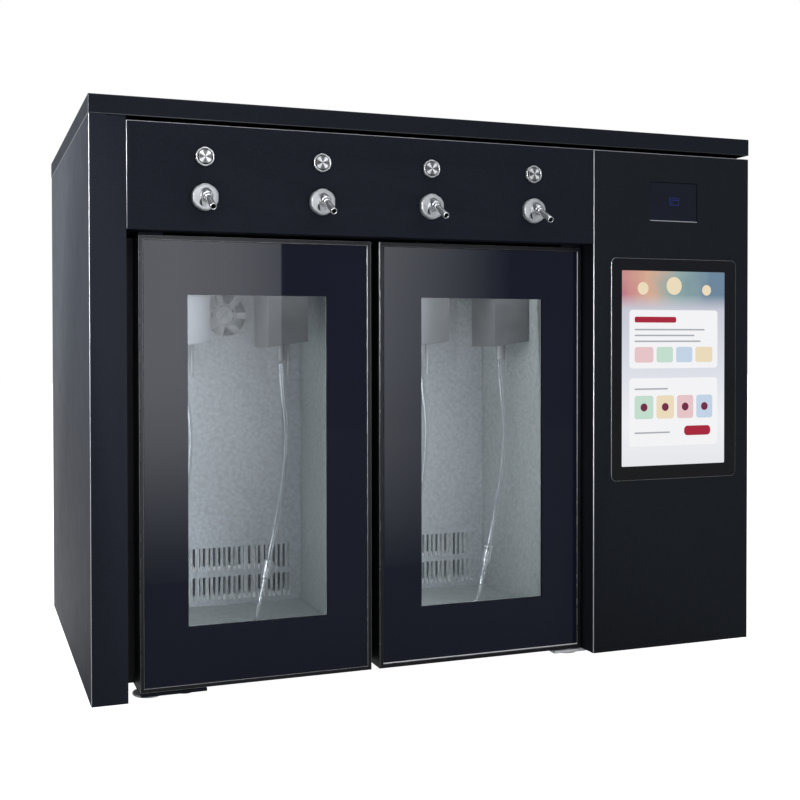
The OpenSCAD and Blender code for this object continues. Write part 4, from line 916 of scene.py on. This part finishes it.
def end_fitting(top):
    """Connector with two collars, beaded barb and dip stem in line with the hose, and a foot on the floor."""
    along = HOSE_ROUTE[-1] - HOSE_ROUTE[-2]
    along /= np.linalg.norm(along)
    floor = span("hose_end_fittings")[0][2]
    reach = (top[2] - floor - 0.0015) / -along[2]
    beads = []
    for k in range(4):
        a = np.linspace(0.12, np.pi - 0.12, 9)
        centre = 0.02275 + 0.005 * k
        beads += [(max(0.002, 0.00275 * math.sin(v)), centre - 0.00275 * math.cos(v)) for v in a]
    profile = [(0, 0), (0.0044, 0), (0.0050, 0.0006), (0.0050, 0.0030), (0.0044, 0.0036), (0.0044, 0.0150),
               (0.0050, 0.0156), (0.0050, 0.0186), (0.0042, 0.0198), (0.0022, 0.0200)]
    profile += beads + [(0.002, 0.0412), (0.002, reach), (0.0, reach)]
    stem = turned(profile, top, tuple(along), 36)
    foot_at = top + along * reach
    foot = turned([(0, 0), (0.0046, 0), (0.0050, 0.0006), (0.0050, 0.0020), (0.0040, 0.0030), (0, 0.0030)],
                  (foot_at[0], foot_at[1], floor), (0, 0, 1), 36)
    return join([stem, foot])


# Hoses 1 and 3 take the dimmer copy of the clear hose material: painted shade.
for i in (1, 2, 3, 4):
    top = hose_top(i)
    fitting = mesh_piece(f"dip_stem_{i}", *end_fitting(top + HOSE_ROUTE[-1]))
    settled(fitting, fitting_clear, "casing", "hose_end_fittings")
    line = resampled(top + HOSE_ROUTE, 40)
    hose = mesh_piece(f"hanging_hose_{i}", *tube(line, HOSE_D / 2))
    settled(hose, hose_painted_shade if i % 2 else hose_clear, "casing", f"wine_hose_{i}")


# ---- gaskets

def gasket_loop(node, side):
    """Magnetic gasket: a ribbed profile of depth and width carried round a rectangle with mitred corners."""
    low, high = span(node)
    w, d = 0.011, high[1] - low[1]
    rise = [(0, 0), (0, 0.35), (0.0012, 0.45), (0.0005, 0.6), (0.0014, 0.8), (0.0014, 0.96), (0.0022, 1)]
    profile = np.array([(x, k * d) for x, k in rise] + [(w - x, k * d) for x, k in rise[::-1]])
    corners = np.array([(low[0], low[2], 1, 1), (high[0], low[2], -1, 1), (high[0], high[2], -1, -1),
                        (low[0], high[2], 1, -1)])
    x = corners[:, None, 0] + corners[:, None, 2] * profile[None, :, 0]
    z = corners[:, None, 1] + corners[:, None, 3] * profile[None, :, 0]
    y = np.broadcast_to(low[1] + profile[None, :, 1], x.shape)
    points = np.stack([x, y, z], -1).reshape(-1, 3)
    piece = mesh_piece(f"ribbed_gasket_{side}", points,
                       grid_faces(4, len(profile), close_rows=True, close_columns=True), smooth=False)
    settled(piece, gasket, f"door_{side}", node, rounded=(0.0002, 1, 25))


for side in ("left", "right"):
    gasket_loop(f"door_gasket_{side}", side)


# ---- feet

def levelling_profile(top):
    """Dish with a rolled brim, a short boss and a stud with fine threads."""
    turns = 18
    z = np.linspace(0.0125, top - 0.001, 2 * turns)
    thread = np.stack([np.where(np.arange(2 * turns) % 2 == 0, 0.0040, 0.0036), z], -1)
    return [(0, 0), (0.0148, 0), (0.0158, 0.0006), (0.0160, 0.0015), (0.0158, 0.0023), (0.0150, 0.0029),
            (0.0110, 0.0040), (0.0080, 0.0050), (0.0060, 0.0052), (0.0060, 0.0112), (0.0055, 0.0117),
            (0.0040, 0.0117), *map(tuple, thread), (0.0030, top), (0, top)]


for side in ("left", "right"):
    node = f"levelling_foot_{side}"
    low, high = span(node)
    profile = levelling_profile(high[2] - low[2])
    foot = mesh_piece(f"{node}_turned", *turned(profile, (*middle(node)[:2], low[2])))
    settled(foot, spacer, f"foot_{side}", node, rounded=(0.0002, 2, 40))


# ---- display picture

GLASS_LOW = span("display_glass")[0]
GLASS_Y = float(GLASS_LOW[1])
PICTURE_W, PICTURE_H = 0.1356, 0.217
PICTURE_X = float(middle("display_glass")[0]) - PICTURE_W / 2 - 0.0012
PICTURE_Z = float(GLASS_LOW[2]) + 0.0160


def rounded_outline(x0, z0, x1, z1, r, steps=8):
    """Outline of a rectangle with quarter circles at its corners, in X and Z."""
    r = min(r, (x1 - x0) / 2, (z1 - z0) / 2)
    a = np.linspace(0, np.pi / 2, steps)
    centres = np.array([(x1 - r, z1 - r), (x0 + r, z1 - r), (x0 + r, z0 + r), (x1 - r, z0 + r)])
    turns = np.arange(4)[:, None] * np.pi / 2 + a[None, :]
    return (centres[:, None, :] + r * np.stack([np.cos(turns), np.sin(turns)], -1)).reshape(-1, 2)


def circle_outline(x, z, r, steps=28):
    """Outline of a circle in X and Z."""
    a = np.linspace(0, 2 * np.pi, steps, endpoint=False)
    return np.stack([x + r * np.cos(a), z + r * np.sin(a)], -1)


def flat_shape(outline, face, depth):
    """A thin plate over a convex outline, from the face at that y forward by depth."""
    n = len(outline)
    back = np.insert(outline, 1, face - 0.00001, axis=1)
    front = np.insert(outline, 1, face - depth, axis=1)
    ring = np.arange(n)
    sides = np.stack([ring, (ring + 1) % n, (ring + 1) % n + n, ring + n], -1)
    return np.concatenate([back, front]), [tuple(range(n, 2 * n)), tuple(range(n))[::-1], *map(tuple, sides)]


def picture_layer(name, material, depth, outlines):
    """One colour of the display's picture: several plates as one piece."""
    piece = mesh_piece(name, *join([flat_shape(o, GLASS_Y, depth) for o in outlines]), smooth=False)
    settled(piece, material, "casing", slot="display_cover", merge=THIN_MERGE)


def spot(u, v):
    """A place in the picture, as shares of its width and height, in metres."""
    return PICTURE_X + u * PICTURE_W, PICTURE_Z + v * PICTURE_H


def tile(u0, v0, u1, v1, r):
    """A rounded rectangle between two places in the picture."""
    return rounded_outline(*spot(u0, v0), *spot(u1, v1), r)


def screen_ground():
    """The picture's ground: white below, and a warm band above that drifts from rose to sand to teal."""
    f = Finish("screen_ground", BLACK, 0.2, slot="display_cover", Emission_Strength=0.92)
    place = f.split(f.place)
    across = f.scaled(place["X"], 0, 1, PICTURE_X, PICTURE_X + PICTURE_W)
    height = f.scaled(place["Z"], 0, 1, PICTURE_Z, PICTURE_Z + PICTURE_H)
    drift = f.maths("ADD", across, f.maths("MULTIPLY", f.noise(30), 0.35))
    band = f.ramp(drift, (0.12, linear(196, 120, 138)), (0.42, linear(222, 176, 150)),
                  (0.7, linear(150, 176, 172)), (1.0, linear(112, 138, 160)))
    ground = f.ramp(height, (0.0, linear(238, 239, 243)), (0.22, linear(246, 247, 250)),
                    (0.5, linear(226, 229, 238)), (0.80, linear(206, 208, 220)))
    f.set("Emission Color", f.mix(f.scaled(height, 0, 1, 0.80, 0.88), ground, band))
    return f.material


def lit(name, *rgb, strength=0.92):
    """A plain colour of the picture."""
    return glowing(name, linear(*rgb), strength, "display_cover")


sand_glow = lit("tile_sand", 244, 228, 196)
CARD_TOP, BAR_TOP, TILE_TOP, DOT_TOP = 0.00014, 0.0002, 0.0002, 0.00026
picture_layer("picture_ground", screen_ground(), 0.00008, [tile(0, 0, 1, 1, 0.001)])
picture_layer("picture_cards", lit("card_white", 250, 250, 252, strength=0.95), CARD_TOP,
              [tile(0.07, 0.50, 0.93, 0.80, 0.004), tile(0.07, 0.10, 0.93, 0.45, 0.004)])
picture_layer("picture_band_discs", sand_glow, CARD_TOP,
              [circle_outline(*spot(u, v), r) for u, v, r in ((0.2, 0.91, 0.007), (0.5, 0.925, 0.010),
                                                            (0.82, 0.905, 0.006))])
picture_layer("picture_marks", lit("mark_crimson", 176, 38, 62, strength=0.9), BAR_TOP,
              [tile(0.12, 0.735, 0.52, 0.765, 0.002), tile(0.60, 0.15, 0.86, 0.20, 0.0045)])
picture_layer("picture_lines", lit("line_grey", 176, 180, 188, strength=0.9), BAR_TOP,
              [tile(0.12, v, u, v + 0.008, 0.0005) for u, v in ((0.80, 0.695), (0.70, 0.665), (0.76, 0.635),
                                                                (0.46, 0.165), (0.44, 0.39))])
for name, material, upper, lower in (
    ("picture_rose", lit("tile_rose", 240, 205, 208), (0.12, 0.30), (0.53, 0.69)),
    ("picture_mint", lit("tile_mint", 203, 230, 214), (0.33, 0.49), (0.12, 0.30)),
    ("picture_sky", lit("tile_sky", 203, 220, 240), (0.52, 0.68), (0.72, 0.88)),
    ("picture_sand", sand_glow, (0.71, 0.88), (0.33, 0.50)),
):
    picture_layer(name, material, TILE_TOP, [tile(upper[0], 0.53, upper[1], 0.61, 0.003),
                                             tile(lower[0], 0.24, lower[1], 0.36, 0.003)])
picture_layer("picture_dots", lit("drop_plum", 120, 44, 74, strength=0.9), DOT_TOP,
              [circle_outline(*spot(u, 0.30), 0.0045) for u in (0.21, 0.415, 0.61, 0.80)])


def reader_glyph():
    """A plain card sign, lit dim blue behind the reader's window: an outline with a stripe and a chip."""
    x, _, z = middle("card_reader") + 0.001
    face = span("card_reader")[0][1]
    w, h, t = 0.0060, 0.0040, 0.00028
    bars = [(-w, h - t, w, h + t), (-w, -h - t, w, -h + t), (-w - t, -h, -w + t, h), (w - t, -h, w + t, h),
            (-w, 0.0012, w, 0.0019), (-0.0042, -0.0024, -0.0022, -0.0010)]
    plates = [flat_shape(rounded_outline(x + a, z + b, x + c, z + d, 0.00015), face, 0.0001)
              for a, b, c, d in bars]
    blue = glowing("reader_glyph_blue", linear(44, 52, 128), 0.8, "reader_window")
    settled(mesh_piece("reader_glyph", *join(plates), smooth=False), blue, "casing", merge=THIN_MERGE)


reader_glyph()


# ---- light inside the compartments

def area_light(name, place, size, power, aim, colour=(1, 1, 1), hidden=()):
    """A soft lamp of a size in metres that faces along aim, hidden from the named kinds of ray."""
    data = bpy.data.lights.new(name, "AREA")
    data.shape = "RECTANGLE"
    data.size, data.size_y = size
    data.energy = power
    data.color = colour
    lamp = bpy.data.objects.new(name, data)
    lamp.location = place
    lamp.rotation_euler = Vector(aim).to_track_quat("-Z", "Y").to_euler()
    bpy.context.scene.collection.objects.link(lamp)
    for kind in hidden:
        setattr(lamp, f"visible_{kind}", False)
    return lamp


def card(name, low, high, y, radiance, across, up):
    """A reflector card that only glossy surfaces see: a rectangle in X and Z at y, facing the object.

    It is graded over its own face by the product of a ramp along its width and one along its height, each a
    list of (share of the way, strength), strengths up to 1.
    """
    size = (high[0] - low[0], high[1] - low[1])
    place = ((low[0] + high[0]) / 2, y, (low[1] + high[1]) / 2)
    power = radiance * math.pi * size[0] * size[1]
    lamp = area_light(name, place, size, power, (0, 1, 0), (0.97, 1.0, 1.06), ("camera", "diffuse"))
    n = Nodes(lamp.data)
    face = n.split(n.node("ShaderNodeNewGeometry").outputs["Parametric"])
    strength = n.maths("MULTIPLY", n.ramp(face["X"], *across), n.ramp(face["Y"], *up))
    n.feed(n.tree.nodes["Emission"].inputs["Strength"], strength)


LED_LOW = span("led_strips")[0]
COVER_BACK, COVER_FOOT = span("evaporator_covers")[1][1], span("evaporator_covers")[0][2]
for side, wash, flank in (("left", 0.27, 0.08), ("right", 0.39, 0.095)):
    x, y, z = middle(f"inner_glass_{side}")
    fan_z = middle(f"evaporator_rotor_{side}")[2]
    for name, place, size, power, aim in (
        ("compartment_wash", (x, y + 0.012, z - 0.02), (0.18, 0.40), wash, (0.08, 1, -0.08)),
        ("compartment_flank", (x - 0.088, y + 0.085, z), (0.12, 0.38), flank, (1, 0, 0)),
        ("slot_fill", (x, COVER_BACK + 0.003, COVER_FOOT + 0.04), (0.16, 0.08), 0.08, (0, 1, 0)),
        ("fan_fill", (x, COVER_BACK + 0.001, fan_z), (0.09, 0.08), 0.009, (0, 1, 0)),
        ("corner_fill", (x + 0.058, y + 0.10, z + 0.12), (0.14, 0.10), 0.016, (1, 0, 0)),
    ):
        area_light(f"{name}_{side}", place, size, power, aim, hidden=("camera", "glossy"))
    area_light(f"ceiling_strip_{side}", (x, LED_LOW[1] - 0.0005, LED_LOW[2] - 0.004), (0.17, 0.006), 0.03,
               (0, 0.55, -1), (1.0, 0.985, 0.96), ("camera",))
    area_light(f"plenum_fill_{side}", (x, y + 0.19, z + 0.06), (0.12, 0.02), 0.35, (0, -0.4, -1),
               hidden=("camera",))
    card(f"hose_glint_{side}", (x - 0.088, z - 0.19), (x - 0.038, z + 0.17), y + 0.014, 18,
         [(0, 1), (1, 1)], [(0, 1), (0.22, 0.8), (0.36, 0.12), (0.55, 0.25), (0.9, 1)])


# ---- stage

def stage_floor(reach=9.0):
    """A pale floor that shows white where nothing shades it, and is dim in front where it is reflected."""
    corners = [(-reach, -reach, 0), (reach, -reach, 0), (reach, reach, 0), (-reach, reach, 0)]
    piece = mesh_piece("pale_floor", corners, [(0, 1, 2, 3)], smooth=False)
    f = Finish("pale_floor_surface", WHITE)
    f.tree.nodes.remove(f.shader)
    ray = f.node("ShaderNodeLightPath").outputs
    tone = f.mix(ray["Is Glossy Ray"], (0.78, 0.78, 0.78, 1), (0.04, 0.04, 0.04, 1))
    backwards = f.scaled(f.split(f.place)["Y"], 0.12, 0.8, -0.3, 0.3, "SMOOTHSTEP")
    mirrored = f.maths("MULTIPLY", ray["Is Glossy Ray"], backwards)
    seen = f.maths("MAXIMUM", ray["Is Camera Ray"], mirrored)
    glow = f.node("ShaderNodeEmission", Strength=f.maths("MAXIMUM", seen, ray["Is Transmission Ray"]))
    both = f.node("ShaderNodeAddShader")
    f.feed(both.inputs[0], f.node("ShaderNodeBsdfDiffuse", Color=tone).outputs[0])
    f.feed(both.inputs[1], glow.outputs[0])
    piece.data.materials.append(f.surfaced(both))


def studio_world():
    """White where the camera looks past the object, and a studio bright behind it and dim in front."""
    world = bpy.data.worlds.new("studio")
    bpy.context.scene.world = world
    n = Nodes(world)
    back = n.tree.nodes["Background"]
    camera_ray = n.node("ShaderNodeLightPath").outputs["Is Camera Ray"]
    backwards = n.split(n.node("ShaderNodeTexCoord").outputs["Generated"])["Y"]
    studio = n.scaled(backwards, 0.16, 1.0, -0.35, 0.25, "SMOOTHSTEP")
    n.feed(back.inputs["Strength"], n.maths("MAXIMUM", camera_ray, studio))
    n.feed(back.inputs["Color"], n.mix(camera_ray, (0.88, 0.96, 1.08, 1), WHITE))


stage_floor()
studio_world()
area_light("front_fill", (0.9, -3.4, 1.3), (3.0, 2.0), 48, (-0.2, 1, -0.25), hidden=("glossy",))
card("left_card", (-0.56, 0.0), (-0.019, 0.78), -0.75, 2.4,
     [(0, 1), (0.70, 1), (0.86, 0.85), (1, 0.55)],
     [(0, 0.03), (0.06, 0.11), (0.16, 0.38), (0.255, 0.70), (0.35, 0.92), (0.45, 1)])
card("right_card", (0.150, 0.0), (0.375, 0.78), -0.75, 1.9,
     [(0, 1), (0.45, 0.55), (0.85, 0.12), (1, 0)],
     [(0, 0.04), (0.05, 0.15), (0.12, 0.34), (0.25, 0.60), (0.45, 0.85), (0.65, 1)])
area_light("edge_glint", (-1.25, -0.95, 0.69), (0.3, 0.70), 15, (0.87, 0.5, 0), hidden=("camera", "diffuse"))
area_light("top_softbox", (0.0, -0.3, 2.2), (1.6, 1.2), 12, (0, 0, -1))
area_light("left_softbox", (-1.9, 0.35, 0.92), (1.2, 1.2), 16, (1, 0, -0.27))

# ---- camera

camera_data = bpy.data.cameras.new("photo_camera")
camera_data.sensor_width = 36.0
camera_data.lens = 50.128
camera_data.shift_x = 0.06225
camera_data.shift_y = -0.0514
camera_data.clip_end = 50
camera = bpy.data.objects.new("photo_camera", camera_data)
bpy.context.scene.collection.objects.link(camera)
yaw, pitch, roll = math.radians(19.36), math.radians(0.807), math.radians(-0.11)
camera.matrix_world = (
    Matrix.Translation((-0.4871, -1.26637, 0.3562))
    @ Matrix.Rotation(-yaw, 4, "Z")
    @ Matrix.Rotation(math.pi / 2 - pitch, 4, "X")
    @ Matrix.Rotation(roll, 4, "Z")
)
bpy.context.scene.camera = camera
bpy.context.scene.view_settings.view_transform = "Standard"
